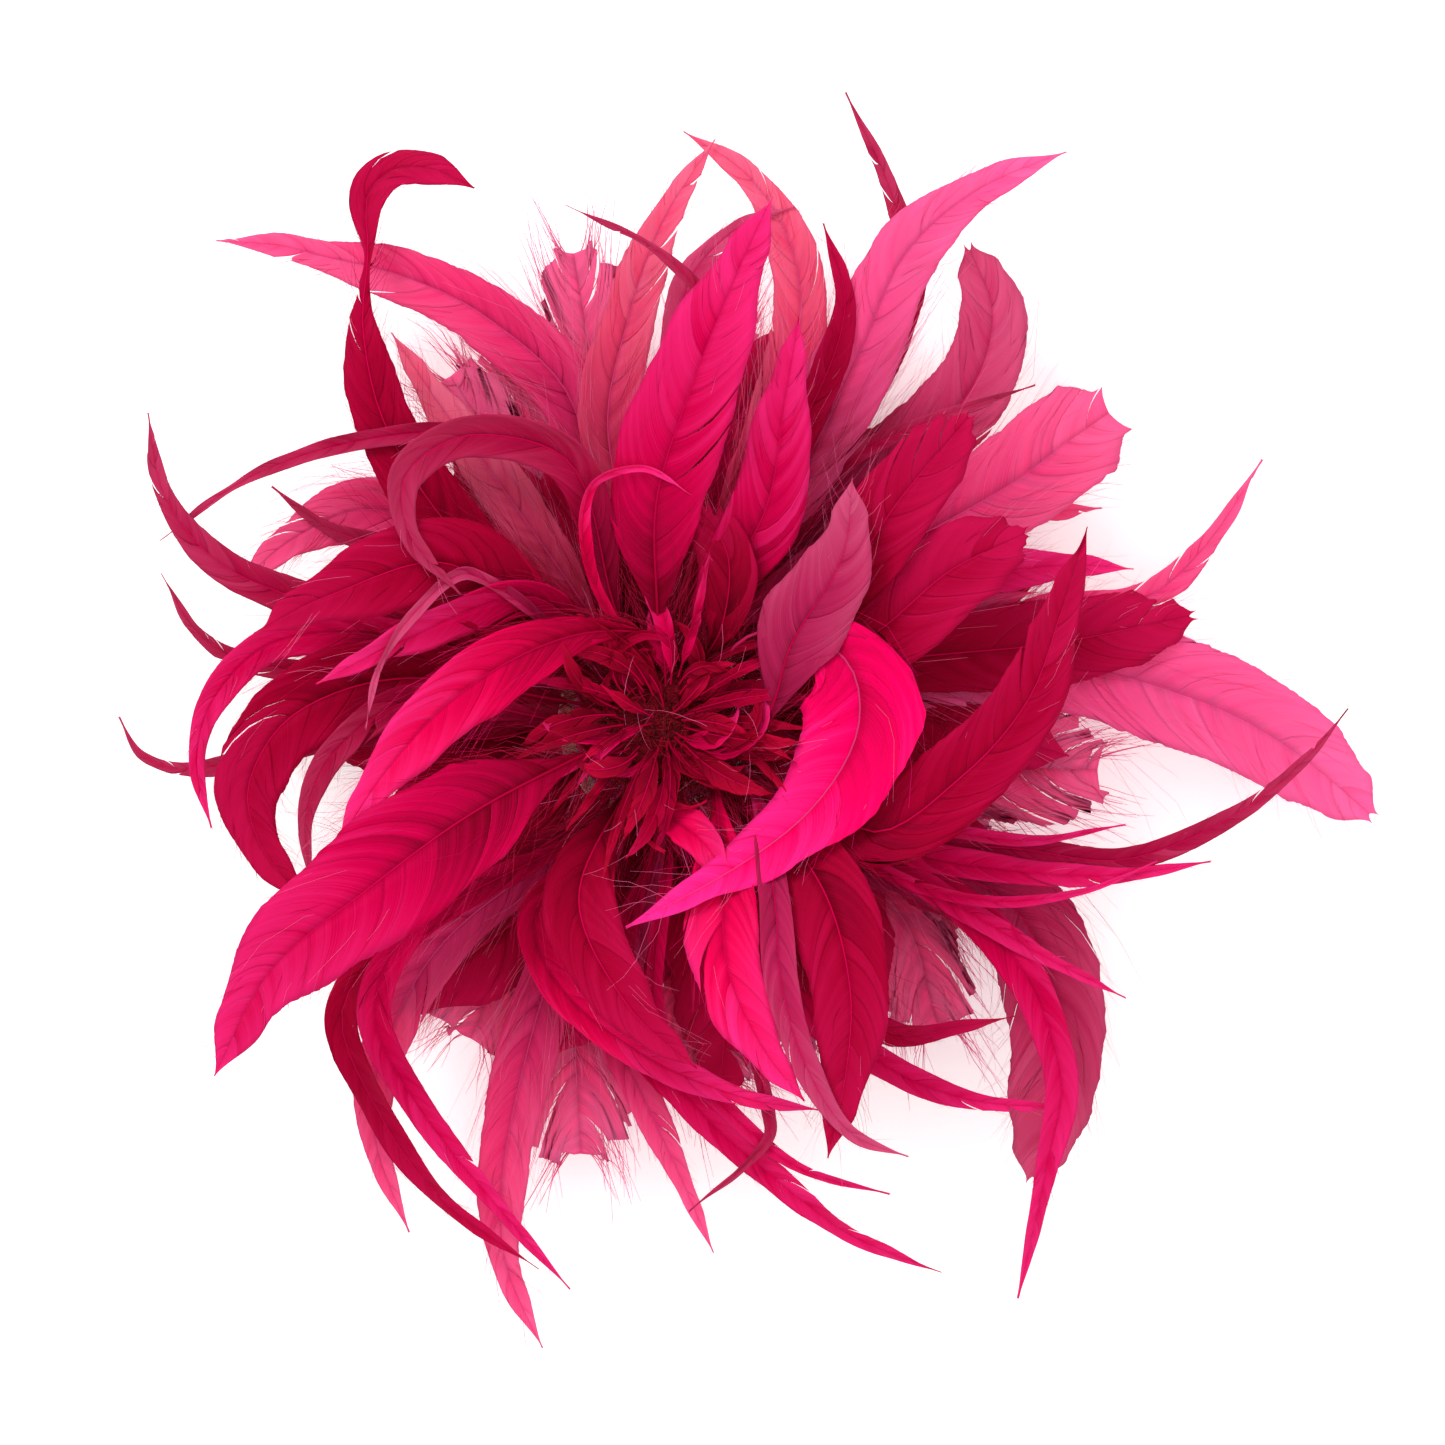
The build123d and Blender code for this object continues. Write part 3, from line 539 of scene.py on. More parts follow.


# %% [markdown]
# ## Dyed feather
# A vane is thousands of barbs, each a flat thread of keratin, hooked side by side. Dye
# colours them all, and light shines through where one vane hangs alone. So the finish
# is a soft plastic-like gloss mixed with light coming through. Over the dye, each vane's
# root is painted darker, as painted shade where the feathers overlap, and its edge is
# painted lighter, as painted light.
# The barbs are about half a millimetre apart, and each took the dye a little differently,
# so fine streaks run along them. They follow the piece's own UV map, whose U counts
# millimetres along the quill at the barb's root.

# %% Dyed vane
BARB_STREAKS_PER_MM = 3.6
STREAK_DEPTH = 0.00006


def dyed_vane(name, root, middle, tip, through, clear, gloss="#ff2a78"):
    """Keratin barbs dyed from root to tip, painted darker at the root as shade and lighter at the edge as
    light, with light coming through them.
    """
    material = new_material(name)
    uv = add_node(material, "ShaderNodeUVMap", uv_map="barbs")
    split = add_node(material, "ShaderNodeSeparateXYZ", {"Vector": uv.outputs["UV"]})
    fine = add_node(
        material,
        "ShaderNodeTexNoise",
        {"W": split.outputs["X"], "Scale": BARB_STREAKS_PER_MM, "Detail": 3.0, "Roughness": 0.7},
        noise_dimensions="1D",
    )
    broad = add_node(
        material,
        "ShaderNodeTexNoise",
        {"W": split.outputs["X"], "Scale": BARB_STREAKS_PER_MM / 9, "Detail": 1.0},
        noise_dimensions="1D",
    )
    tone = add_node(material, "ShaderNodeAttribute", attribute_name="tone")
    share = add_node(material, "ShaderNodeAttribute", attribute_name="along")
    # Painted light: the colour grows lighter away from the quill, towards the vane's edge.
    edge = add_node(material, "ShaderNodeMath", {0: split.outputs["Y"], 1: 0.5}, operation="SUBTRACT")
    edge = add_node(material, "ShaderNodeMath", {0: edge.outputs[0]}, operation="ABSOLUTE")
    parts = [(share, 0.7), (fine, 0.36), (broad, 0.24), (tone, 0.1), (edge, 0.3)]
    total = -0.12
    for part, weight in parts:
        source = part.outputs["Fac"] if "Fac" in part.outputs else part.outputs[0]
        total = add_node(
            material, "ShaderNodeMath", {0: source, 1: weight, 2: total}, operation="MULTIPLY_ADD"
        ).outputs[0]
    ramp = add_node(material, "ShaderNodeValToRGB", {"Fac": total})
    # Painted shade: the first colour darkens each vane's root, where the feathers lie over one another.
    ramp.color_ramp.elements[0].position = 0.25
    ramp.color_ramp.elements[0].color = colour(root)
    ramp.color_ramp.elements[1].color = colour(tip)
    ramp.color_ramp.elements.new(0.6).color = colour(middle)
    bump = add_node(
        material,
        "ShaderNodeBump",
        {"Height": fine.outputs["Fac"], "Strength": 0.5, "Distance": STREAK_DEPTH},
    )
    surface = add_node(
        material,
        "ShaderNodeBsdfPrincipled",
        {
            "Base Color": ramp.outputs["Color"],
            "Roughness": 0.5,
            "Specular IOR Level": 0.45,
            "Specular Tint": colour(gloss),
            "Normal": bump.outputs["Normal"],
        },
    )
    lit = add_node(
        material, "ShaderNodeMix", {0: 0.5, 6: ramp.outputs["Color"], 7: colour(through)}, data_type="RGBA"
    )
    glow = add_node(material, "ShaderNodeBsdfTranslucent", {"Color": lit.outputs[2]})
    mixed = add_node(material, "ShaderNodeMixShader", {0: clear, 1: surface.outputs[0], 2: glow.outputs[0]})
    return finish_material(material, mixed.outputs[0])


# The first colour of each dye, at the vane's root, is painted shade.
VANES = {
    # Painted shade: the eye's vanes are darkened as shade, because so little light reaches them.
    "eye": dyed_vane("goose_barbs_eye_painted_shade", "#48000a", "#8a031e", "#c00834", "#a00020", 0.15),
    "vivid": dyed_vane("goose_vane_vivid", "#b00030", "#fb0060", "#ff2f98", "#ff0a66", 0.15),
    "bright": dyed_vane("goose_vane_bright", "#8c0020", "#e8004e", "#fb3088", "#ff0a60", 0.2),
    "magenta": dyed_vane("goose_vane_magenta", "#76001a", "#cf0048", "#ee2a7c", "#f80658", 0.22),
    # Crimson is a deeper dye, and also painted shade where a feather lies under the others.
    "crimson": dyed_vane("goose_vane_crimson_and_painted_shade", "#50000e", "#a2002a", "#c4104a", "#d8003a", 0.22),
    "rose": dyed_vane("goose_vane_rose", "#6a001c", "#a80c3c", "#c03862", "#d81c50", 0.25),
    "dusk": dyed_vane("goose_vane_dusk", "#80062e", "#c42860", "#dc5c8a", "#ee4c80", 0.35),
    "pink": dyed_vane("goose_vane_pink", "#b30040", "#ec3a80", "#f974ac", "#ff6ca8", 0.45),
    "pale": dyed_vane("goose_vane_pale", "#c80a50", "#f65a9e", "#fd80bb", "#ff84bc", 0.5),
    "down": dyed_vane("marabou_down", "#d00c50", "#f04088", "#fb80b8", "#ff60a0", 0.5),
    "salmon": dyed_vane("goose_vane_salmon", "#b00838", "#ea4a7a", "#f486a8", "#ff7ca0", 0.45),
}
print("dyed vanes:", len(VANES))

# %% [markdown]
# The quill is solid keratin, smoother than the barbs, and dye turns it deeper at its thick
# end. Down is loose barbs with no hooks: it is so fine that it scatters light like fluff,
# so it is rougher and lets more light through.


# %% Quill and down
def dyed_quill(name, deep, light):
    """Solid keratin, smooth, deeper in colour where it is thick."""
    material = new_material(name)
    share = add_node(material, "ShaderNodeAttribute", attribute_name="along")
    ramp = add_node(material, "ShaderNodeValToRGB", {"Fac": share.outputs["Fac"]})
    ramp.color_ramp.elements[0].color = colour(deep)
    ramp.color_ramp.elements[1].color = colour(light)
    surface = add_node(
        material,
        "ShaderNodeBsdfPrincipled",
        {
            "Base Color": ramp.outputs["Color"],
            "Roughness": 0.45,
            "Specular IOR Level": 0.35,
            "Specular Tint": colour(light),
        },
    )
    return finish_material(material, surface.outputs[0])


def dyed_down(name, deep, light, clear):
    """Loose dyed barbs that scatter the light."""
    material = new_material(name)
    tone = add_node(material, "ShaderNodeAttribute", attribute_name="tone")
    share = add_node(material, "ShaderNodeAttribute", attribute_name="along")
    spread = add_node(
        material, "ShaderNodeMath", {
            0: tone.outputs["Fac"], 1: 0.2, 2: share.outputs["Fac"]
        }, operation="MULTIPLY_ADD"
    )
    ramp = add_node(material, "ShaderNodeValToRGB", {"Fac": spread.outputs[0]})
    ramp.color_ramp.elements[0].color = colour(deep)
    ramp.color_ramp.elements[1].color = colour(light)
    surface = add_node(
        material,
        "ShaderNodeBsdfPrincipled",
        {"Base Color": ramp.outputs["Color"], "Roughness": 0.7, "Specular IOR Level": 0.2},
    )
    glow = add_node(material, "ShaderNodeBsdfTranslucent", {"Color": ramp.outputs["Color"]})
    mixed = add_node(material, "ShaderNodeMixShader", {0: clear, 1: surface.outputs[0], 2: glow.outputs[0]})
    return finish_material(material, mixed.outputs[0])


QUILLS = {
    "deep": dyed_quill("quill_keratin_deep", "#8a0020", "#e0085a"),
    "light": dyed_quill("quill_keratin_light", "#a8083e", "#e04a8c"),
}
DOWNS = {
    # Painted shade: the eye's loose barbs are darkened as shade.
    "eye": dyed_down("down_barbs_eye_painted_shade", "#4c0009", "#9c0322", 0.15),
    # Painted shade: these dark barbs at each feather's base stand for the shadow in the gaps between
    # feathers.
    "deep": dyed_down("down_barbs_crimson_painted_shade", "#8a0220", "#e01450", 0.3),
    "light": dyed_down("down_barbs_light", "#f03480", "#ff94c6", 0.4),
}
PALE_DYES = ("pink", "pale", "salmon", "down")

# %% [markdown]
# ## A net of barbs
# A vane is built as it grows: each barb leaves the quill, slants towards the tip and ends
# at the vane's edge. Barbs hook to their neighbours in bunches, and where the hooks have
# let go there is a slit. So each bunch is one closed slab of its own, and the bunches
# draw together a little at the edge, which opens the slits. Writing the points in code
# is the only way to place thousands of barbs, so these meshes aren't made by hand.


# %% Gather a mesh
class Gather:
    """Collects closed slabs and threads, and turns them into one object."""

    def __init__(self):
        self.points, self.faces, self.finish = [], [], []
        self.uv, self.tone, self.along = [], [], []
        self.count, self.materials, self.smooth = 0, [], []

    def add(self, points, faces, finish, uv, tone, along, flat=0):
        if finish not in self.materials:
            self.materials.append(finish)
        self.points.append(points)
        self.faces.append(np.asarray(faces) + self.count)
        self.finish.append(np.full(len(faces), self.materials.index(finish)))
        self.smooth.append(np.arange(len(faces)) < len(faces) - flat)
        self.uv.append(uv)
        self.tone.append(np.broadcast_to(tone, len(points)))
        self.along.append(along)
        self.count += len(points)

    def object(self, name):
        points = np.vstack(self.points) * MM
        faces = np.vstack(self.faces)
        mesh = bpy.data.meshes.new(name)
        mesh.vertices.add(len(points))
        mesh.vertices.foreach_set("co", points.ravel())
        mesh.loops.add(faces.size)
        mesh.loops.foreach_set("vertex_index", faces.ravel())
        mesh.polygons.add(len(faces))
        mesh.polygons.foreach_set("loop_start", np.arange(len(faces)) * 4)
        mesh.polygons.foreach_set("material_index", np.concatenate(self.finish))
        mesh.update(calc_edges=True)
        uv = mesh.uv_layers.new(name="barbs")
        uv.data.foreach_set("uv", np.vstack(self.uv)[faces.ravel()].ravel())
        for attribute, values in (("tone", self.tone), ("along", self.along)):
            layer = mesh.attributes.new(attribute, "FLOAT", "POINT")
            layer.data.foreach_set("value", np.concatenate(values))
        for material in self.materials:
            mesh.materials.append(material)
        mesh.polygons.foreach_set("use_smooth", np.concatenate(self.smooth))
        mesh.validate()
        piece = bpy.data.objects.new(name, mesh)
        bpy.context.scene.collection.objects.link(piece)
        return piece


def grid_faces(rows, columns, wrap=False):
    """Four-cornered faces between the points of a grid."""
    r, c = np.meshgrid(np.arange(rows - 1), np.arange(columns if wrap else columns - 1), indexing="ij")
    r, c = r.ravel(), c.ravel()
    d = (c + 1) % columns
    return np.column_stack([r * columns + c, (r + 1) * columns + c, (r + 1) * columns + d, r * columns + d])


def slab_faces(rows, columns):
    """The faces of a thin closed slab: a front grid, a back grid and the rim between."""
    front = grid_faces(rows, columns)
    offset = rows * columns
    back = front[:, ::-1] + offset
    top = np.arange(columns)
    ring = np.concatenate(
        [
            top[:-1],
            np.arange(rows - 1) * columns + columns - 1,
            (rows - 1) * columns + top[:0:-1],
            np.arange(rows - 1, 0, -1) * columns,
        ]
    )
    after = np.roll(ring, -1)
    rim = np.column_stack([ring, after, after + offset, ring + offset])
    return np.vstack([front, back, rim])


# %% [markdown]
# ## The feather's own line in space
# The plan line is lifted to its layer's height. At each place the feather has three
# directions: along the quill, out across the vane, and out of the vane's face. Turning
# the last two about the quill rolls the feather, which is how a vane shows its edge.


# %% The feather's line
class Line:
    """A feather's quill in space, with directions that can be read anywhere along it."""

    def __init__(self, plan, tier, layer, roll):
        z = height(plan[:, 0], plan[:, 1], tier, layer)
        self.points = np.column_stack([plan, z])
        self.far = distances(self.points)
        self.length = self.far[-1]
        step = 1.0
        x, y = plan[:, 0], plan[:, 1]
        up = np.column_stack(
            [
                (height(x - step, y, tier, layer) - height(x + step, y, tier, layer)) / (2 * step),
                (height(x, y - step, tier, layer) - height(x, y + step, tier, layer)) / (2 * step),
                np.ones(len(x)),
            ]
        )
        ahead = unit(np.gradient(self.points, axis=0))
        across = unit(np.cross(up, ahead))
        facing = np.cross(ahead, across)
        turn = np.radians(np.interp(self.far / self.length, [0, 0.5, 1], roll))[:, None]
        self.ahead = ahead
        self.across = across * np.cos(turn) + facing * np.sin(turn)
        self.facing = facing * np.cos(turn) - across * np.sin(turn)

    def read(self, values, s):
        return np.stack([np.interp(s, self.far, values[:, k]) for k in range(3)], axis=-1)

    def place(self, s, side=0.0, rise=0.0):
        """The point at s along the quill, moved sideways across the vane and out of its face."""
        s = np.asarray(s, float)
        past = np.maximum(s - self.length, 0)[..., None] * self.ahead[-1]
        side, rise = np.broadcast_to(side, s.shape)[..., None], np.broadcast_to(rise, s.shape)[..., None]
        return self.read(self.points, s) + past + self.read(self.across, s) * side + self.read(
            self.facing, s
        ) * rise


def unit(vectors):
    return vectors / np.maximum(np.linalg.norm(vectors, axis=-1, keepdims=True), 1e-9)


# %% [markdown]
# ## Vane, quill and down of one feather
# The vane on each side of the quill is cut into bunches of barbs of uneven size. The edge
# is a little ragged, and the bunches lift and spread by small chance amounts.

# %% Vane
BARB_SPACING = 0.55
BARB_STEPS = 6
VANE_THICKNESS = 0.12
VANE_START = 0.07
VANE_AHEAD = 13.0  # a wide vane's barbs run no further than this ahead of their roots
FRINGE_AHEAD = 12.0
FRINGE_SLANT = 2.2
FRINGE_STEPS = 6
STREAK_PER_TONE = 30
FEWEST_BARBS = 3  # in a bunch
BUNCH_SHAPE, BUNCH_SCALE = 1.5, 8
THINNEST_VANE = 0.12


def full_width(share, tip):
    """The outline's width, with the soft barbs that fill out a feather's lower third."""
    return np.maximum(share_of_width(share, tip), 0.85 * np.clip(share / 0.3, 0, 1) ** 0.6 * (share < 0.35))


def reach_of_barbs(roots, line, width, tip, slant):
    """How far sideways each barb reaches, and how far it runs ahead, to end on the outline."""
    reach = full_width(roots / line.length, tip) * width / 2
    for _ in range(8):
        ends = np.minimum((roots + slant * reach) / line.length, 1)
        reach = 0.5 * reach + 0.25 * width * full_width(ends, tip)
    reach = np.maximum(reach, THINNEST_VANE)
    return reach, np.minimum(slant * reach, line.length * 1.01 - roots)


def add_vane(gather, line, width, tip, chance, style, finish):
    """Both sides of a feather's vane, as bunches of barbs."""
    slant = min(style["slant"], 2 * VANE_AHEAD / width)
    start = style.get("bare", VANE_START) * line.length
    count = int((line.length - start) / BARB_SPACING)
    roots = np.linspace(start, line.length * 0.99, count)
    for side in (-1, 1):
        reach, advance = reach_of_barbs(roots, line, width, tip, slant)
        reach = reach * np.clip((roots - start) / (0.12 * line.length), 0.2, 1) ** 0.7
        reach = reach * (1 - style["ragged"] * fray(count, chance))
        wave = chance.uniform(0.15, 0.45), chance.uniform(9, 18), chance.uniform(0, 6)
        first = 0
        while first < count - 1:
            last = min(first + FEWEST_BARBS + int(chance.gamma(BUNCH_SHAPE, BUNCH_SCALE)), count - 1)
            if count - last <= FEWEST_BARBS:
                last = count - 1
            bunch = slice(first, last + 1)
            add_bunch(
                gather,
                line,
                roots[bunch],
                reach[bunch],
                advance[bunch],
                side,
                chance,
                style,
                wave,
                width,
                finish,
            )
            first = last


def fray(count, chance):
    """How much is lost from each barb's end: a slow wave, and a little by chance."""
    knots = np.arange(0, count + 8, 5)
    wave = np.abs(np.interp(np.arange(count), knots, chance.normal(0, 0.5, len(knots))))
    return np.minimum(wave + 0.35 * chance.random(count) ** 2, 1)


def add_bunch(gather, line, roots, reach, advance, side, chance, style, wave, width, finish):
    """One closed slab of hooked barbs, open to its neighbour only where a slit is."""
    opened = chance.random() < style["slits"]
    pinch = chance.uniform(0.1, 0.3) * opened
    q = np.linspace(0, 1, BARB_STEPS)
    beyond = np.clip((q - chance.uniform(0.1, 0.6)) / 0.5, 0, 1) ** 1.5
    roots, reach, advance = roots[:, None], reach[:, None], advance[:, None]
    out = reach * q * (1.35 - 0.35 * q)
    ahead = roots + advance * (0.5 * q + 0.5 * q**2)
    ahead = ahead - (roots - roots.mean()) * pinch * beyond + chance.normal(0, 0.5) * opened * q**2
    ripple = wave[0] * np.sin(ahead / wave[1] * 2 * math.pi + wave[2]) * q**2
    rise = ripple + style["cup"] * (2 * out / width) ** 2 + opened * chance.normal(0, 0.25) * q**2 * min(
        width / 8, 1
    )
    thick = VANE_THICKNESS / 2 * (1 - 0.5 * q)
    front = line.place(ahead, side * out, rise + thick)
    back = line.place(ahead, side * out, rise - thick)
    points = np.vstack([front.reshape(-1, 3), back.reshape(-1, 3)])
    faces = slab_faces(len(roots), len(q))
    rim = 2 * (len(roots) + len(q)) - 4
    if side > 0:
        faces = faces[:, ::-1]
    uv = np.column_stack(
        [np.repeat(roots[:, 0] + 500 * (side > 0), len(q)), np.tile(0.5 + 0.5 * side * q, len(roots))]
    )
    share = np.clip(ahead / line.length, 0, 1).ravel()
    gather.add(
        points,
        faces,
        finish,
        np.vstack([uv, uv]),
        chance.normal(0, 0.5),
        np.concatenate([share, share]),
        flat=rim,
    )


# %% [markdown]
# A thread is a thin tube with three or more sides that tapers to its end. The quill is one,
# and so is each loose barb of down. Many threads are made at once, because there are
# thousands of them.


# %% Threads, quills and down
def add_threads(gather, paths, radii, finish, tone, sides=3):
    """Tapered tubes along many paths: paths is threads × steps × 3, radii threads × steps."""
    threads, steps, _ = paths.shape
    ahead = unit(np.gradient(paths, axis=1))
    helper = np.where(np.abs(ahead[..., 2:3]) > 0.9, [1.0, 0, 0], [0, 0, 1.0])
    a = unit(np.cross(ahead, helper))
    b = np.cross(ahead, a)
    angle = np.arange(sides) * 2 * math.pi / sides
    ring = a[:, :, None] * np.cos(angle)[:, None] + b[:, :, None] * np.sin(angle)[:, None]
    points = (paths[:, :, None] + ring * radii[:, :, None, None]).reshape(-1, 3)
    one = grid_faces(steps, sides, wrap=True)[:, ::-1]
    faces = (one[None] + (np.arange(threads) * steps * sides)[:, None, None]).reshape(-1, 4)
    share = np.tile(np.repeat(np.linspace(0, 1, steps), sides), threads)
    tones = np.repeat(np.broadcast_to(tone, threads), steps * sides)
    # A thread has no vane edge, so V stays at the quill, and U picks its own streak.
    uv = np.column_stack([STREAK_PER_TONE * tones, np.full(len(tones), 0.5)])
    gather.add(points, faces, finish, uv, tones, share)


def add_quill(gather, line, width, finish):
    """The feather's shaft, thick at its root and a hair at its tip."""
    s = np.linspace(0, line.length * 0.985, 36)
    thickness = 0.1 + 0.14 * min(width, 12) / 12
    radii = thickness * (1 - s / line.length) ** 1.3 + 0.035
    add_threads(gather, line.place(s, 0, 0.02)[None], radii[None], finish, 0.0, sides=6)


def stray_paths(starts, headings, lengths, chance, steps=7, curl=0.35):
    """Paths of loose barbs, which wander more and more towards their ends."""
    count = len(starts)
    heading = unit(headings)
    bend = chance.normal(0, curl / steps, (count, 3))
    paths = [starts]
    for _ in range(steps - 1):
        heading = unit(heading + bend + chance.normal(0, curl / steps, (count, 3)))
        paths.append(paths[-1] + heading * (lengths / (steps - 1))[:, None])
    return np.stack(paths, axis=1)


def add_fringe(gather, line, width, tip, low, high, count, chance, finish, beyond, thin):
    """Loose barbs that lie along the vane's own, and reach past its edge."""
    roots = np.sort(chance.uniform(low, high, count)) * line.length
    side = chance.choice([-1.0, 1.0], count)[:, None]
    slant = min(FRINGE_SLANT, 2 * FRINGE_AHEAD / width)
    reach, advance = reach_of_barbs(roots, line, width, tip, slant)
    reach = np.maximum(reach, 0.3 * width) * chance.uniform(0.6, 1.1, count)
    advance = np.maximum(advance, slant * reach)
    q = np.linspace(0, 1, FRINGE_STEPS) * (1 + beyond * chance.random(count)[:, None])
    bend = chance.normal(0, 0.2, (count, 1)) * q**2 * reach[:, None]
    curl = 0.08 * np.sin(
        q * chance.uniform(3, 9, (count, 1)) + chance.uniform(0, 6, (count, 1))
    ) * q * reach[:, None]
    out = side * (reach[:, None] * q * (1.25 - 0.25 * q) + bend + curl)
    ahead = roots[:, None] + advance[:, None] * (0.5 * q + 0.5 * q**2) * chance.uniform(0.6, 1.4, (count, 1))
    wave = 0.25 * np.sin(q * chance.uniform(2, 5, (count, 1)) + chance.uniform(0, 6, (count, 1))) * q
    rise = chance.normal(-0.1, 0.35, (count, 1)) * q**2 + wave - 0.08
    radii = np.broadcast_to(thin * np.linspace(1, 0.25, FRINGE_STEPS), ahead.shape)
    add_threads(gather, line.place(ahead, out, rise), radii, finish, chance.normal(0, 0.6, count))


def add_eye_barbs(gather, radius, top, count, length, thin, chance, finish, curl=1.4):
    """Loose barbs glued over the roll, which stand up and curl outwards over it."""
    angle, far = chance.uniform(0, 2 * math.pi, count), radius * np.sqrt(chance.random(count)) * 1.1
    start = np.column_stack([far * np.cos(angle), far * np.sin(angle), top - 2.5 * (far / radius) ** 2])
    start[:, 2] -= chance.uniform(0, 1.5, count)
    heading = np.column_stack([start[:, 0] / radius, start[:, 1] / radius, chance.uniform(0.1, 0.8, count)])
    heading += chance.normal(0, 0.4, (count, 3)) * (1, 1, 0.5)
    paths = stray_paths(start, heading, length * chance.uniform(0.5, 1.2, count), chance, steps=8, curl=curl)
    floor = top - 3.0 * (np.linalg.norm(paths[..., :2], axis=2) / radius) ** 2
    paths[..., 2] = np.maximum(paths[..., 2], np.maximum(floor, top - 8) + 0.2)
    s = np.linspace(0, 1, paths.shape[1])
    radii = np.broadcast_to(thin * (1 - 0.65 * s), paths.shape[:2])
    add_threads(gather, paths, radii, finish, chance.normal(0, 1, count), sides=4)

# %% [markdown]
# ## The feathers
# Outer feathers are thin, pale and ragged, with many slits. The inner ones are short, stiff
# and smooth. The narrow hackles have long barbs that lean far forward. Each feather gets
# its own seed, so it is the same on each run and like no other. The two front-most
# feathers and the widest one are styled one by one, because the eye goes to them first.

# %% Feather pieces
STYLES = {
    "outer": {"slits": 0.14, "ragged": 0.07, "cup": 0.25, "roll": 0.7, "slant": 2.3, "fluff": 1.0},
    "middle": {"slits": 0.08, "ragged": 0.05, "cup": 0.4, "roll": 0.9, "slant": 2.6, "fluff": 0.8},
    "inner": {"slits": 0.06, "ragged": 0.04, "cup": 0.8, "roll": 1.1, "slant": 2.9, "fluff": 0.45},
}
SPECIAL_STYLES = {
    "inner_feather_12": {"slits": 0.0, "cup": -0.5, "roll": 0.0, "bare": 0.16, "fluff": 0.08},
    "inner_feather_13": {"slits": 0.0, "cup": 0.9, "bare": 0.12, "fluff": 0.1},
    "inner_feather_08": {"slits": 0.0, "cup": 0.5, "roll": 0.6},
    "outer_fill": {"fluff": 0.22},
}
DOWN_STYLE = {"slits": 0.9, "ragged": 0.3, "cup": 0.3, "slant": 2.6, "bare": 0.05}
FIRST_SEED = 4000
BARBS_PER_MM = 14  # loose barbs for each mm of a vane's width
PALE_HAIRS_PER_MM = 1.6
PLUME_TURNS = (-24, 0, 24)  # degrees between the quills of one tuft


def build_feather(gather, number):
    """One feather's vane and quill, its basal down, its loose barbs and a few pale hairs."""
    node, width, tip, shade, _ = FEATHERS[number]
    chance = np.random.default_rng(FIRST_SEED + number)
    tier = node.split("_")[0]
    style = {**STYLES[tier], **SPECIAL_STYLES.get(node, {})}
    rise = style["roll"] * chance.uniform(-1, 1, 3)
    roll = np.degrees(np.arcsin(np.clip(2 * rise / width, -0.35, 0.35)))
    line = Line(plan_lines[number], tier, LAYERS[number], roll)
    vane, pale = VANES[shade], shade in PALE_DYES
    add_vane(gather, line, width, tip, chance, style, vane)
    add_quill(gather, line, width, QUILLS["light" if pale or shade == "vivid" else "deep"])
    fluff, deep, light = DOWNS["light"] if pale else vane, DOWNS["deep"], DOWNS["light"]
    loose, many = style["fluff"], int(BARBS_PER_MM * width)
    for low, high, count, finish, beyond, thin in (
        # The first fringe, at the feather's base, is dark down as painted shade in the gaps.
        (0.03, 0.3, int(loose * (60 + many / 2)), deep, 0.7 * loose, 0.06),
        (0.2, 0.45, int(loose * (30 + many / 2)), fluff, 0.8 * loose, 0.06),
        (0.3, 0.85, int(loose * many), vane, 0.2, 0.05),
        (0.4, 0.95, int(PALE_HAIRS_PER_MM * width), light, 0.25, 0.045),
    ):
        add_fringe(gather, line, width, tip, low, high, count, chance, finish, beyond, thin)



def build_plume(gather, number):
    """A tuft of down: soft ragged vanes on a few hair-thin quills, fringed with loose barbs."""
    width = FEATHERS[number][1]
    chance = np.random.default_rng(FIRST_SEED + number)
    plan = plan_lines[number]
    for turn in np.radians(PLUME_TURNS):
        swing = np.array([[math.cos(turn), math.sin(turn)], [-math.sin(turn), math.cos(turn)]])
        reach = 1 - 0.4 * abs(turn)
        line = Line(plan[0] + ((plan - plan[0]) * reach) @ swing, "down", LAYERS[number], (0, 0, 0))
        add_vane(gather, line, width, "blunt", chance, DOWN_STYLE, VANES["down"])
        add_fringe(gather, line, width, "blunt", 0.15, 0.97, 240, chance, DOWNS["light"], 0.4, 0.13)
        add_quill(gather, line, 1, DOWNS["light"])


def build_feathers():
    """One piece for each feather node of the plain model."""
    nodes = {}
    for number, entry in enumerate(FEATHERS):
        nodes.setdefault(entry[0], []).append(number)
    for node, numbers in nodes.items():
        gather = Gather()
        for number in numbers:
            (build_plume if node == "down_plumes" else build_feather)(gather, number)
        piece = gather.object(node + "_barbs")
        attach(piece, "flower")
        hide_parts(node)
    return nodes


nodes = build_feathers()
print("feather pieces:", len(nodes))

# %% [markdown]
# ## Felt, buckram and ribbon
# The flower is backed by a disc of wool felt, which is soft against hair and cloth. Felt is
# pressed fibre with no weave, so its finish is fine noise in colour and height. The
# buckram over it is a stiff open weave that the feathers are glued to, so its finish is
# two crossed sets of waves at the thread spacing. Both took the same dye as the feathers.

# %% Felt and buckram finishes
FELT_FIBRE = 0.00012
BUCKRAM_THREAD = 0.0009


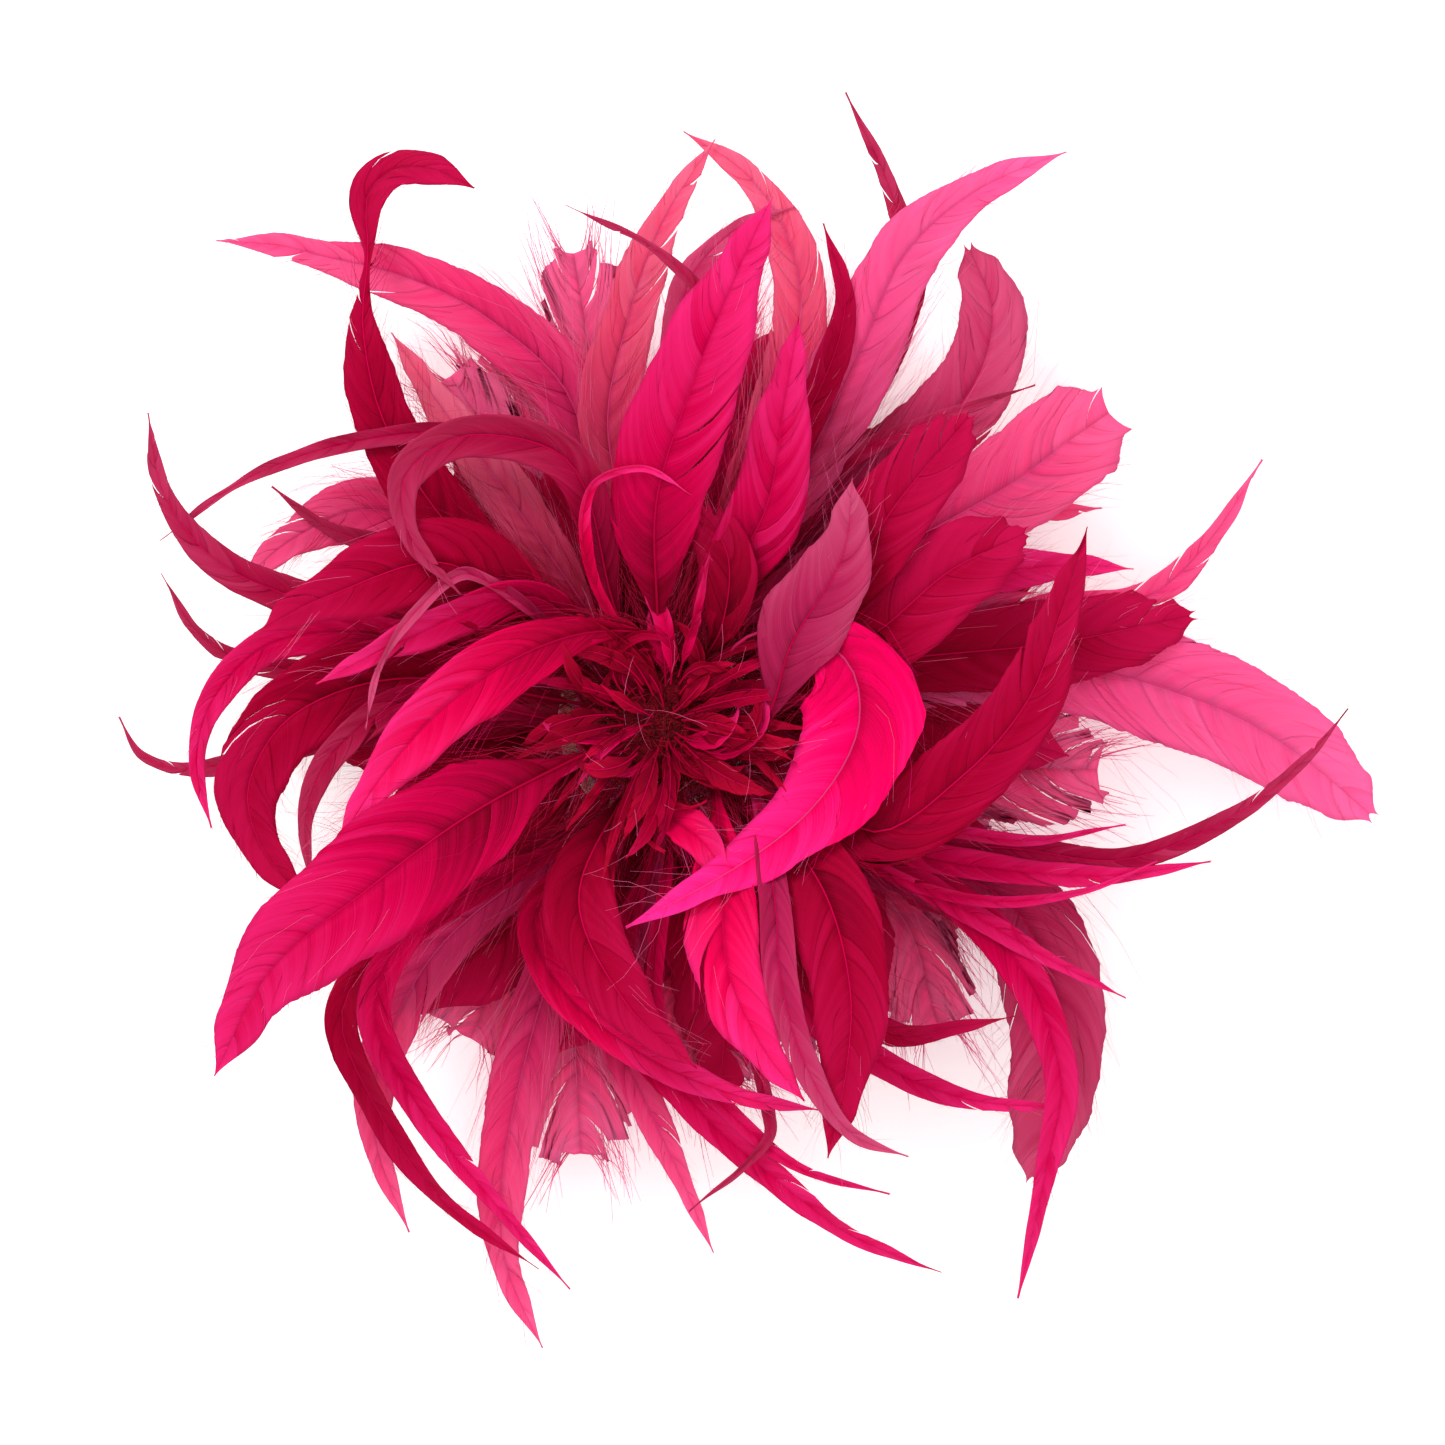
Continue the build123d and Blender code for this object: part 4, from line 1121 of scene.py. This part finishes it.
def wool_felt(name, deep, light):
    """Pressed wool: a matte surface of tangled fibres."""
    material = new_material(name)
    place = add_node(material, "ShaderNodeTexCoord")
    fibres = add_node(
        material,
        "ShaderNodeTexNoise",
        {
            "Vector": place.outputs["Object"],
            "Scale": 0.35 / FELT_FIBRE,
            "Detail": 6.0,
            "Roughness": 0.75,
            "Distortion": 1.5,
        },
    )
    patches = add_node(
        material, "ShaderNodeTexNoise", {"Vector": place.outputs["Object"], "Scale": 120.0, "Detail": 2.0}
    )
    both = add_node(
        material, "ShaderNodeMath", {
            0: patches.outputs["Fac"], 1: 0.5, 2: fibres.outputs["Fac"]
        }, operation="MULTIPLY_ADD"
    )
    ramp = add_node(material, "ShaderNodeValToRGB", {"Fac": both.outputs[0]})
    ramp.color_ramp.elements[0].position, ramp.color_ramp.elements[1].position = 0.45, 1.0
    ramp.color_ramp.elements[0].color = colour(deep)
    ramp.color_ramp.elements[1].color = colour(light)
    bump = add_node(
        material, "ShaderNodeBump", {"Height": fibres.outputs["Fac"], "Strength": 0.7, "Distance": FELT_FIBRE}
    )
    surface = add_node(
        material,
        "ShaderNodeBsdfPrincipled",
        {
            "Base Color": ramp.outputs["Color"],
            "Roughness": 0.95,
            "Specular IOR Level": 0.15,
            "Sheen Weight": 0.3,
            "Sheen Roughness": 0.6,
            "Sheen Tint": colour(light),
            "Normal": bump.outputs["Normal"],
        },
    )
    return finish_material(material, surface.outputs[0])


def woven(name, deep, light, thread):
    """A plain weave: two crossed sets of threads."""
    material = new_material(name)
    place = add_node(material, "ShaderNodeTexCoord")
    sets = [
        add_node(
            material,
            "ShaderNodeTexWave",
            {"Vector": place.outputs["Object"], "Scale": 0.314 / thread, "Distortion": 0.6, "Detail": 1.0},
            bands_direction=direction,
        )
        for direction in ("X", "Y")
    ]
    weave = add_node(
        material, "ShaderNodeMath", {
            0: sets[0].outputs["Fac"], 1: sets[1].outputs["Fac"]
        }, operation="MAXIMUM"
    )
    ramp = add_node(material, "ShaderNodeValToRGB", {"Fac": weave.outputs[0]})
    ramp.color_ramp.elements[0].color = colour(deep)
    ramp.color_ramp.elements[1].color = colour(light)
    bump = add_node(
        material, "ShaderNodeBump", {"Height": weave.outputs[0], "Strength": 0.8, "Distance": thread / 5}
    )
    surface = add_node(
        material,
        "ShaderNodeBsdfPrincipled",
        {
            "Base Color": ramp.outputs["Color"],
            "Roughness": 0.8,
            "Specular IOR Level": 0.2,
            "Normal": bump.outputs["Normal"],
        },
    )
    return finish_material(material, surface.outputs[0])


FELT = wool_felt("wool_felt_fuchsia", "#7c0630", "#d31d66")
DARK_FELT = wool_felt("wool_felt_crimson", "#3a0008", "#8a0420")
BUCKRAM = woven("buckram_dyed", "#5e0424", "#b5174f", BUCKRAM_THREAD)
print("fabric finishes made")

# %% [markdown]
# A disc of felt starts as a filled circle. It is inset a few times, so that it has rings of
# faces that can undulate, then Solidify gives it its thickness, Bevel rounds its cut edge,
# and Displace makes it a little uneven, as felt cut by hand is.

# %% Discs of felt and buckram
RING_STEPS = 8


def start_piece(name):
    """Names the primitive just added and goes into edit mode with all of it selected."""
    piece = bpy.context.object
    piece.name = piece.data.name = name
    bpy.ops.object.mode_set(mode="EDIT")
    bpy.ops.mesh.select_all(action="SELECT")
    return piece


def finish_piece(piece, material, node, body="flower"):
    """Applies the place and the modifiers, and puts the piece where its plain solid was."""
    if bpy.context.mode != "OBJECT":
        bpy.ops.object.mode_set(mode="OBJECT")
    bpy.ops.object.select_all(action="DESELECT")
    piece.select_set(True)
    bpy.context.view_layer.objects.active = piece
    bpy.ops.object.transform_apply(location=True, rotation=True, scale=True)
    for modifier in list(piece.modifiers):
        bpy.ops.object.modifier_apply(modifier=modifier.name)
    bpy.ops.object.shade_smooth_by_angle(angle=math.radians(40))
    piece.data.materials.clear()
    piece.data.materials.append(material)
    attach(piece, body)
    if node:
        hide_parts(node)
    return piece


def unevenness(piece, depth, size):
    """A Displace modifier that lifts and drops the surface by cloud noise."""
    clouds = bpy.data.textures.new(piece.name + "_clouds", "CLOUDS")
    clouds.noise_scale = size
    displace = piece.modifiers.new("uneven", "DISPLACE")
    displace.texture, displace.strength, displace.mid_level = clouds, depth, 0.5
    displace.texture_coords = "LOCAL"


def cloth_disc(name, node, material, depth):
    """A round of cloth as large and thick as its plain solid."""
    low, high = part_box(node)
    radius, thickness = (high[0] - low[0]) / 2, high[2] - low[2]
    middle = (low + high) / 2
    bpy.ops.object.select_all(action="DESELECT")
    bpy.ops.mesh.primitive_circle_add(vertices=120, radius=radius, fill_type="NGON", location=middle)
    piece = start_piece(name)
    for _ in range(RING_STEPS):
        bpy.ops.mesh.inset(thickness=radius / (RING_STEPS + 2))
    bpy.ops.object.mode_set(mode="OBJECT")
    solid = piece.modifiers.new("thickness", "SOLIDIFY")
    solid.thickness, solid.offset = thickness, 0.0
    edge = piece.modifiers.new("edge", "BEVEL")
    edge.width, edge.segments, edge.limit_method = thickness * 0.3, 2, "ANGLE"
    unevenness(piece, depth, 0.012)
    finish_piece(piece, material, node)
    print(name, "is", round(2000 * radius), "mm across")
    return piece


cloth_disc("felt_backing_sheet", "felt_backing", FELT, 0.0003)
cloth_disc("buckram_base_sheet", "buckram_base", BUCKRAM, 0.0002)

# %% [markdown]
# ## Glue
# Hot-melt glue holds the feather fringe on the buckram. It is an amber-clear plastic that set
# in a thick pool with soft lumps, so a disc is rounded, made uneven and given a smooth,
# slightly see-through finish.

# %% Glue pad
hot_melt = new_material("hot_melt_glue")
place = add_node(hot_melt, "ShaderNodeTexCoord")
cloud = add_node(
    hot_melt, "ShaderNodeTexNoise", {"Vector": place.outputs["Object"], "Scale": 260.0, "Detail": 3.0}
)
ramp = add_node(hot_melt, "ShaderNodeValToRGB", {"Fac": cloud.outputs["Fac"]})
ramp.color_ramp.elements[0].color = colour("#b98a78")
ramp.color_ramp.elements[1].color = colour("#ecc9b4")
surface = add_node(
    hot_melt,
    "ShaderNodeBsdfPrincipled",
    {"Base Color": ramp.outputs["Color"], "Roughness": 0.22, "IOR": 1.5, "Subsurface Weight": 0.2},
)
finish_material(hot_melt, surface.outputs[0])

low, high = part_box("glue_pad")
bpy.ops.object.select_all(action="DESELECT")
bpy.ops.mesh.primitive_cylinder_add(
    vertices=72, radius=(high[0] - low[0]) / 2, depth=high[2] - low[2], location=(low + high) / 2
)
glue = start_piece("glue_pool")
bpy.ops.mesh.select_all(action="DESELECT")
bpy.ops.object.mode_set(mode="OBJECT")
for face in glue.data.polygons:
    face.select = face.normal.z > 0.9
bpy.ops.object.mode_set(mode="EDIT")
for _ in range(5):
    bpy.ops.mesh.inset(thickness=(high[0] - low[0]) / 14)
bpy.ops.object.mode_set(mode="OBJECT")
round_edge = glue.modifiers.new("edge", "BEVEL")
round_edge.width, round_edge.segments, round_edge.limit_method = 0.0004, 3, "ANGLE"
unevenness(glue, 0.0006, 0.004)
finish_piece(glue, hot_melt, "glue_pad")

# %% [markdown]
# ## Stringing cord
# The feathers are sewn in a fringe to a soft cotton cord, which is wound twice round under
# them. It is three strands laid together. Its whole length is inside the flower, so it
# isn't a free cord. The strands follow the plain cord's own spiral of half circles.

# %% Cord of three strands
cotton = wool_felt("cotton_cord_dyed", "#8a0a3c", "#e0417e")
CORD_RADIUS = 1.0
LAY_LENGTH = 7.0
low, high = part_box("stringing_cord")
CORD_Z = (low[2] + high[2]) / 2 / MM
edges = [high[0] / MM - CORD_RADIUS, -low[0] / MM - CORD_RADIUS]
CORD_STEP = 2 * abs(edges[0] - edges[1])


def spiral(start, half_turns, step):
    """A flat spiral of half circles, as points 4 degrees apart."""
    points, x = [], start
    for half in range(half_turns):
        side = 1 if half % 2 == 0 else -1
        end = -side * (abs(x) + step / 2)
        radius, middle = abs(x - end) / 2, (x + end) / 2
        angle = np.radians(np.arange(0, 180, 4))
        points.append(
            np.column_stack([middle + side * radius * np.cos(angle), side * radius * np.sin(angle)])
        )
        x = end
    return np.vstack([*points, [[x, 0]]])


CORD_TURNS = 2
outermost = max(edges)
line = spiral(outermost - CORD_TURNS * CORD_STEP, 2 * CORD_TURNS, CORD_STEP)
line = np.column_stack([line, np.full(len(line), CORD_Z)])
far = distances(line)
s = np.linspace(0, far[-1], 320)
centre = np.stack([np.interp(s, far, line[:, k]) for k in range(3)], axis=1)
ahead = unit(np.gradient(centre, axis=0))
side = unit(np.cross(ahead, [0, 0, 1.0]))
gather = Gather()
STRAND_RADIUS = CORD_RADIUS * 0.52
for strand in range(3):
    turn = s / LAY_LENGTH * 2 * math.pi + strand * 2 * math.pi / 3
    out = CORD_RADIUS * 0.46
    path = centre + out * (side * np.cos(turn)[:, None] + np.array([0, 0, 1.0]) * np.sin(turn)[:, None])
    add_threads(gather, path[None], np.full((1, len(s)), STRAND_RADIUS), cotton, strand * 0.3, sides=8)
cord = gather.object("stringing_cord_strands")
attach(cord, "flower")
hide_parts("stringing_cord")
print("stringing cord length in mm:", round(far[-1], 1))

# %% [markdown]
# ## Felt roll
# The quills end against a plug made of a felt strip rolled up tight. Its top shows the
# strip's spiral edge. Its outline is drawn as an open profile and spun round the middle,
# so its top can be grooved turn by turn.

# %% Felt roll by spinning a profile
low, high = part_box("felt_roll")
ROLL_RADIUS, ROLL_LOW, ROLL_TOP = high[0], low[2], high[2]
CROWN = 0.002
TURN_WIDTH = 0.0014


def roll_profile():
    """Points from the middle of the roll's top, over its crown and down its side."""
    points = []
    turns = int(ROLL_RADIUS / TURN_WIDTH)
    for step in range(turns * 4):
        out = step / (turns * 4) * (ROLL_RADIUS - CROWN * 0.5)
        groove = 0.0003 * (step % 4 == 0)
        points.append((out, ROLL_TOP - CROWN * (out / ROLL_RADIUS) ** 4 * 0.8 - groove))
    points.append((ROLL_RADIUS, ROLL_TOP - CROWN))
    for share in (0.25, 0.5, 0.75, 1.0):
        points.append((ROLL_RADIUS, ROLL_TOP - CROWN - share * (ROLL_TOP - CROWN - ROLL_LOW)))
    points.append((0.0, ROLL_LOW))
    return points


profile = bpy.data.meshes.new("felt_roll_core")
points = roll_profile()
profile.from_pydata([(x, 0, z) for x, z in points], [(i, i + 1) for i in range(len(points) - 1)], [])
roll = bpy.data.objects.new("felt_roll_core", profile)
bpy.context.scene.collection.objects.link(roll)
bpy.ops.object.select_all(action="DESELECT")
roll.select_set(True)
bpy.context.view_layer.objects.active = roll
bpy.ops.object.mode_set(mode="EDIT")
bpy.ops.mesh.select_all(action="SELECT")
bpy.ops.mesh.spin(steps=64, angle=2 * math.pi, center=(0, 0, 0), axis=(0, 0, 1))
bpy.ops.mesh.select_all(action="SELECT")
bpy.ops.mesh.remove_doubles(threshold=0.00001)
bpy.ops.mesh.normals_make_consistent(inside=False)
unevenness(roll, 0.0002, 0.003)
finish_piece(roll, DARK_FELT, "felt_roll")
print("felt roll stands", round(1000 * (ROLL_TOP - ROLL_LOW), 1), "mm high")

# %% [markdown]
# The eye of the flower hides the felt roll: short barbs and small curled feathers are glued
# over it, darker than all the rest because so little light reaches them. The small feathers
# are made like the large ones. Each is turned by the same wide angle from the last, as
# seeds in a flower are, so they spread evenly, and each curls by chance.

# %% Barbs and small feathers over the eye
EYE_SEED = 77
SMALL_FEATHERS = 60
SMALL_TURN = 2.4  # radians
SMALL_STEPS = 14
# The eye entries are the painted-shade colour; the others are vane dyes.
EYE_DYES_AND_SHADE = ("eye", "crimson", "eye", "eye", "magenta", "eye", "eye")
EYE_STYLE = {"slits": 0.25, "ragged": 0.2, "cup": 0.9, "slant": 2.5, "bare": 0.03}


def add_small_feather(gather, number, top, chance):
    """A small feather that starts over the roll and curls outwards across the eye."""
    angle, begin = SMALL_TURN * number, chance.uniform(0.5, 6)
    turn = angle + chance.normal(0, 1.5) * np.linspace(0, 1, SMALL_STEPS)
    step = chance.uniform(9, 20) / SMALL_STEPS
    plan = np.column_stack([np.cos(turn), np.sin(turn)]).cumsum(axis=0) * step
    plan += begin * np.array([math.cos(angle), math.sin(angle)])
    line = Line(plan, "inner", chance.integers(8, 19), chance.uniform(-30, 30, 3))
    line.points[:, 2] = np.maximum(line.points[:, 2], top + chance.uniform(0.3, 2.6))
    width = chance.uniform(1.6, 4.2)
    dye = EYE_DYES_AND_SHADE[number % len(EYE_DYES_AND_SHADE)]
    add_vane(gather, line, width, "point", chance, EYE_STYLE, VANES[dye])
    add_quill(gather, line, width, QUILLS["deep"])


chance = np.random.default_rng(EYE_SEED)
gather = Gather()
eye_radius, eye_top = ROLL_RADIUS / MM, ROLL_TOP / MM
add_eye_barbs(gather, eye_radius, eye_top, 1050, 5, 0.13, chance, DOWNS["eye"])
for number in range(SMALL_FEATHERS):
    add_small_feather(gather, number, eye_top, chance)
add_eye_barbs(gather, eye_radius * 1.8, eye_top, 50, 14, 0.05, chance, DOWNS["light"], curl=0.7)
eye = gather.object("felt_roll_barbs")
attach(eye, "flower")
print("small feathers in the eye:", SMALL_FEATHERS)

# %% [markdown]
# ## Strap over the clip
# A short strip of felt goes over the clip's fixed jaw and is glued to the backing on both
# sides. It is one strip bent to the shape of the jaw, so its line is drawn across, given
# corners that are rounded by Bevel, extruded along the clip and thickened inwards.

# %% Strap
low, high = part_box("clip_strap")
STRAP_THICKNESS = 0.0008
STRAP_SLACK = 0.0003
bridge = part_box("clip_fixed_jaw")[1][1] + STRAP_SLACK
strap_line = [
    (low[1], high[2] - STRAP_THICKNESS / 2),
    (-bridge, high[2] - STRAP_THICKNESS / 2),
    (-bridge, low[2] + STRAP_THICKNESS / 2),
    (bridge, low[2] + STRAP_THICKNESS / 2),
    (bridge, high[2] - STRAP_THICKNESS / 2),
    (high[1], high[2] - STRAP_THICKNESS / 2),
]
shape = bpy.data.meshes.new("clip_strap_felt")
shape.from_pydata([(low[0], y, z) for y, z in strap_line], [(i, i + 1) for i in range(5)], [])
strap = bpy.data.objects.new("clip_strap_felt", shape)
bpy.context.scene.collection.objects.link(strap)
bpy.ops.object.select_all(action="DESELECT")
strap.select_set(True)
bpy.context.view_layer.objects.active = strap
bpy.ops.object.mode_set(mode="EDIT")
bpy.ops.mesh.select_all(action="SELECT")
bpy.ops.mesh.extrude_edges_move(TRANSFORM_OT_translate={"value": (high[0] - low[0], 0, 0)})
bpy.ops.mesh.select_all(action="SELECT")
bpy.ops.mesh.subdivide(number_cuts=3)
bpy.ops.mesh.normals_make_consistent(inside=False)
bpy.ops.object.mode_set(mode="OBJECT")
thick = strap.modifiers.new("thickness", "SOLIDIFY")
thick.thickness, thick.offset = STRAP_THICKNESS, 0.0
soft = strap.modifiers.new("edge", "BEVEL")
soft.width, soft.segments, soft.limit_method = 0.0002, 2, "ANGLE"
finish_piece(strap, FELT, "clip_strap")

# %% [markdown]
# ## Stitches
# Strong thread sews the pin's bar to the felt through a hole near each end. Each stitch is a
# knot of several turns of thread, so each is drawn as a small coil of thread that fills the
# hole and spreads over the bar.

# %% Stitches through the bar
thread = wool_felt("polyester_thread_dyed", "#7a0a35", "#d4306f")
THREAD_RADIUS = 0.17
low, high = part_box("bar_stitches")
gather = Gather()
head = (high[1] - low[1]) / 2 / MM
for side in (-1, 1):
    x = side * ((high[0] - low[0]) / 2 / MM - head)
    y = (low[1] + high[1]) / 2 / MM
    s = np.linspace(0, 1, 220)
    turns = 2 * math.pi * 7 * s
    reach = np.where(s < 0.6, 0.45, 0.45 + (head - 0.62) * np.clip((s - 0.6) / 0.4, 0, 1))
    z = np.interp(
        s, [0, 0.6, 0.7, 1], [high[2] / MM - 0.1, low[2] / MM + 0.45, low[2] / MM + 0.2, low[2] / MM + 0.2]
    )
    coil = np.column_stack([x + reach * np.cos(turns), y + reach * np.sin(turns), z])
    add_threads(gather, coil[None], np.full((1, len(s)), THREAD_RADIUS), thread, 0.0, sides=6)
    core = np.column_stack(
        [np.full(8, x), np.full(8, y), np.linspace(high[2] / MM - 0.05, low[2] / MM + 0.1, 8)]
    )
    add_threads(gather, core[None], np.full((1, 8), 0.4), thread, 0.2, sides=8)
stitches = gather.object("bar_stitches_thread")
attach(stitches, "flower")
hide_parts("bar_stitches")

# %% [markdown]
# ## Metal
# The hair clip and the brooch pin are stamped from steel sheet and drawn wire, then plated
# with nickel. Nickel is a warm grey metal. Stamped sheet keeps fine lines along the
# direction that it was rolled in, and wire keeps them along its length, so stretched noise
# changes the roughness a little along X, with a few broad smudges from handling.

# %% Nickel plating
ROLLING_LINE = 0.00012


def nickel(name, hex_code, roughness):
    """Plated steel with fine lines along X."""
    material = new_material(name)
    place = add_node(material, "ShaderNodeTexCoord")
    stretch = add_node(
        material, "ShaderNodeMapping", {"Vector": place.outputs["Object"], "Scale": (0.06, 1.0, 1.0)}
    )
    lines = add_node(
        material, "ShaderNodeTexNoise", {
            "Vector": stretch.outputs[0], "Scale": 0.4 / ROLLING_LINE, "Detail": 3.0
        }
    )
    smudges = add_node(
        material, "ShaderNodeTexNoise", {"Vector": place.outputs["Object"], "Scale": 180.0, "Detail": 2.0}
    )
    rough = add_node(
        material, "ShaderNodeMapRange", {
            "Value": lines.outputs["Fac"], "To Min": roughness - 0.08, "To Max": roughness + 0.12
        }
    )
    ramp = add_node(material, "ShaderNodeValToRGB", {"Fac": smudges.outputs["Fac"]})
    dark = tuple(c * 0.82 for c in colour(hex_code)[:3]) + (1.0,)
    ramp.color_ramp.elements[0].position, ramp.color_ramp.elements[1].position = 0.3, 0.75
    ramp.color_ramp.elements[0].color = dark
    ramp.color_ramp.elements[1].color = colour(hex_code)
    bump = add_node(
        material, "ShaderNodeBump", {"Height": lines.outputs["Fac"], "Strength": 0.25, "Distance": 0.00003}
    )
    surface = add_node(
        material,
        "ShaderNodeBsdfPrincipled",
        {
            "Base Color": ramp.outputs["Color"],
            "Metallic": 1.0,
            "Roughness": rough.outputs["Result"],
            "Normal": bump.outputs["Normal"],
        },
    )
    return finish_material(material, surface.outputs[0])


METALS = {
    "clip_fixed_jaw": nickel("nickel_stamped", "#c9c4bb", 0.3),
    "clip_moving_jaw": bpy.data.materials["nickel_stamped"],
    "pin_bar": nickel("nickel_bar", "#cfcac2", 0.34),
    "catch_rotor": bpy.data.materials["nickel_bar"],
    "pin_stem": nickel("steel_wire_bright", "#d8d6d2", 0.2),
    "clip_spring": bpy.data.materials["steel_wire_bright"],
    "clip_pivot_pin": bpy.data.materials["steel_wire_bright"],
    "pin_rivet": bpy.data.materials["nickel_bar"],
}
for node, metal in METALS.items():
    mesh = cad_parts[node].data
    mesh.materials.clear()
    mesh.materials.append(metal)
print("metal pieces:", len(METALS))

# %% [markdown]
# The torsion spring is wound round the pivot. One leg lies on the fixed jaw's tail and the
# other on the moving jaw's, so when the clip opens the coil winds up between them. The
# plain spring is copied, and its doubled corners are merged.

# %% Spring wire
plain_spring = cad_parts["clip_spring"]
spring = bpy.data.objects.new("clip_spring_wire", plain_spring.data.copy())
spring.data.transform(plain_spring.matrix_world)
bpy.context.scene.collection.objects.link(spring)
bpy.ops.object.select_all(action="DESELECT")
spring.select_set(True)
bpy.context.view_layer.objects.active = spring
bpy.ops.object.mode_set(mode="EDIT")
bpy.ops.mesh.select_all(action="SELECT")
bpy.ops.mesh.remove_doubles(threshold=1e-6)
bpy.ops.object.mode_set(mode="OBJECT")
bpy.ops.object.shade_smooth_by_angle(angle=math.radians(40))
low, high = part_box("clip_pivot_pin")
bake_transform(spring)
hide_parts("clip_spring")
print("spring corners:", len(spring.data.vertices))

# %% [markdown]
# ## Floor, world and lights
# A white paper sweep lies under the piece, and large soft lights stand round it, so the
# shadows are faint and the feathers are lit from all sides, as in a studio. The paper is
# lit from behind too, which keeps it white close to the feathers.

# %% Studio
low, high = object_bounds()
bpy.ops.object.select_all(action="DESELECT")
bpy.ops.mesh.primitive_plane_add(size=6, location=(0, 0, low[2] - 0.0005))
floor = bpy.context.object
floor.name = "floor"
paper = new_material("white_paper")
matte = add_node(
    paper,
    "ShaderNodeBsdfPrincipled",
    {
        "Base Color": colour("#fdfdfd"),
        "Roughness": 0.9,
        "Specular IOR Level": 0.1,
        "Emission Color": colour("#ffffff"),
        "Emission Strength": 0.3,
    },
)
finish_material(paper, matte.outputs[0])
floor.data.materials.append(paper)

world = bpy.data.worlds.new("studio")
bpy.context.scene.world = world
world.use_nodes = True
world.node_tree.nodes["Background"].inputs["Color"].default_value = (1, 1, 1, 1)
world.node_tree.nodes["Background"].inputs["Strength"].default_value = 0.72


def add_light(name, place, size, power):
    """A square softbox that faces the flower."""
    data = bpy.data.lights.new(name, "AREA")
    data.energy = power
    data.size = size
    light = bpy.data.objects.new(name, data)
    light.location = place
    aim = Vector((0, 0, 0.02)) - light.location
    light.rotation_euler = aim.to_track_quat("-Z", "Y").to_euler()
    bpy.context.scene.collection.objects.link(light)


add_light("key", (-0.7, 0.9, 1.2), 0.6, 14)
add_light("fill", (0.9, -0.5, 1.1), 1.0, 4)
add_light("top", (0.0, 0.1, 1.6), 1.2, 5)
scene = bpy.context.scene
scene.view_settings.view_transform = "Standard"
scene.render.film_transparent = False
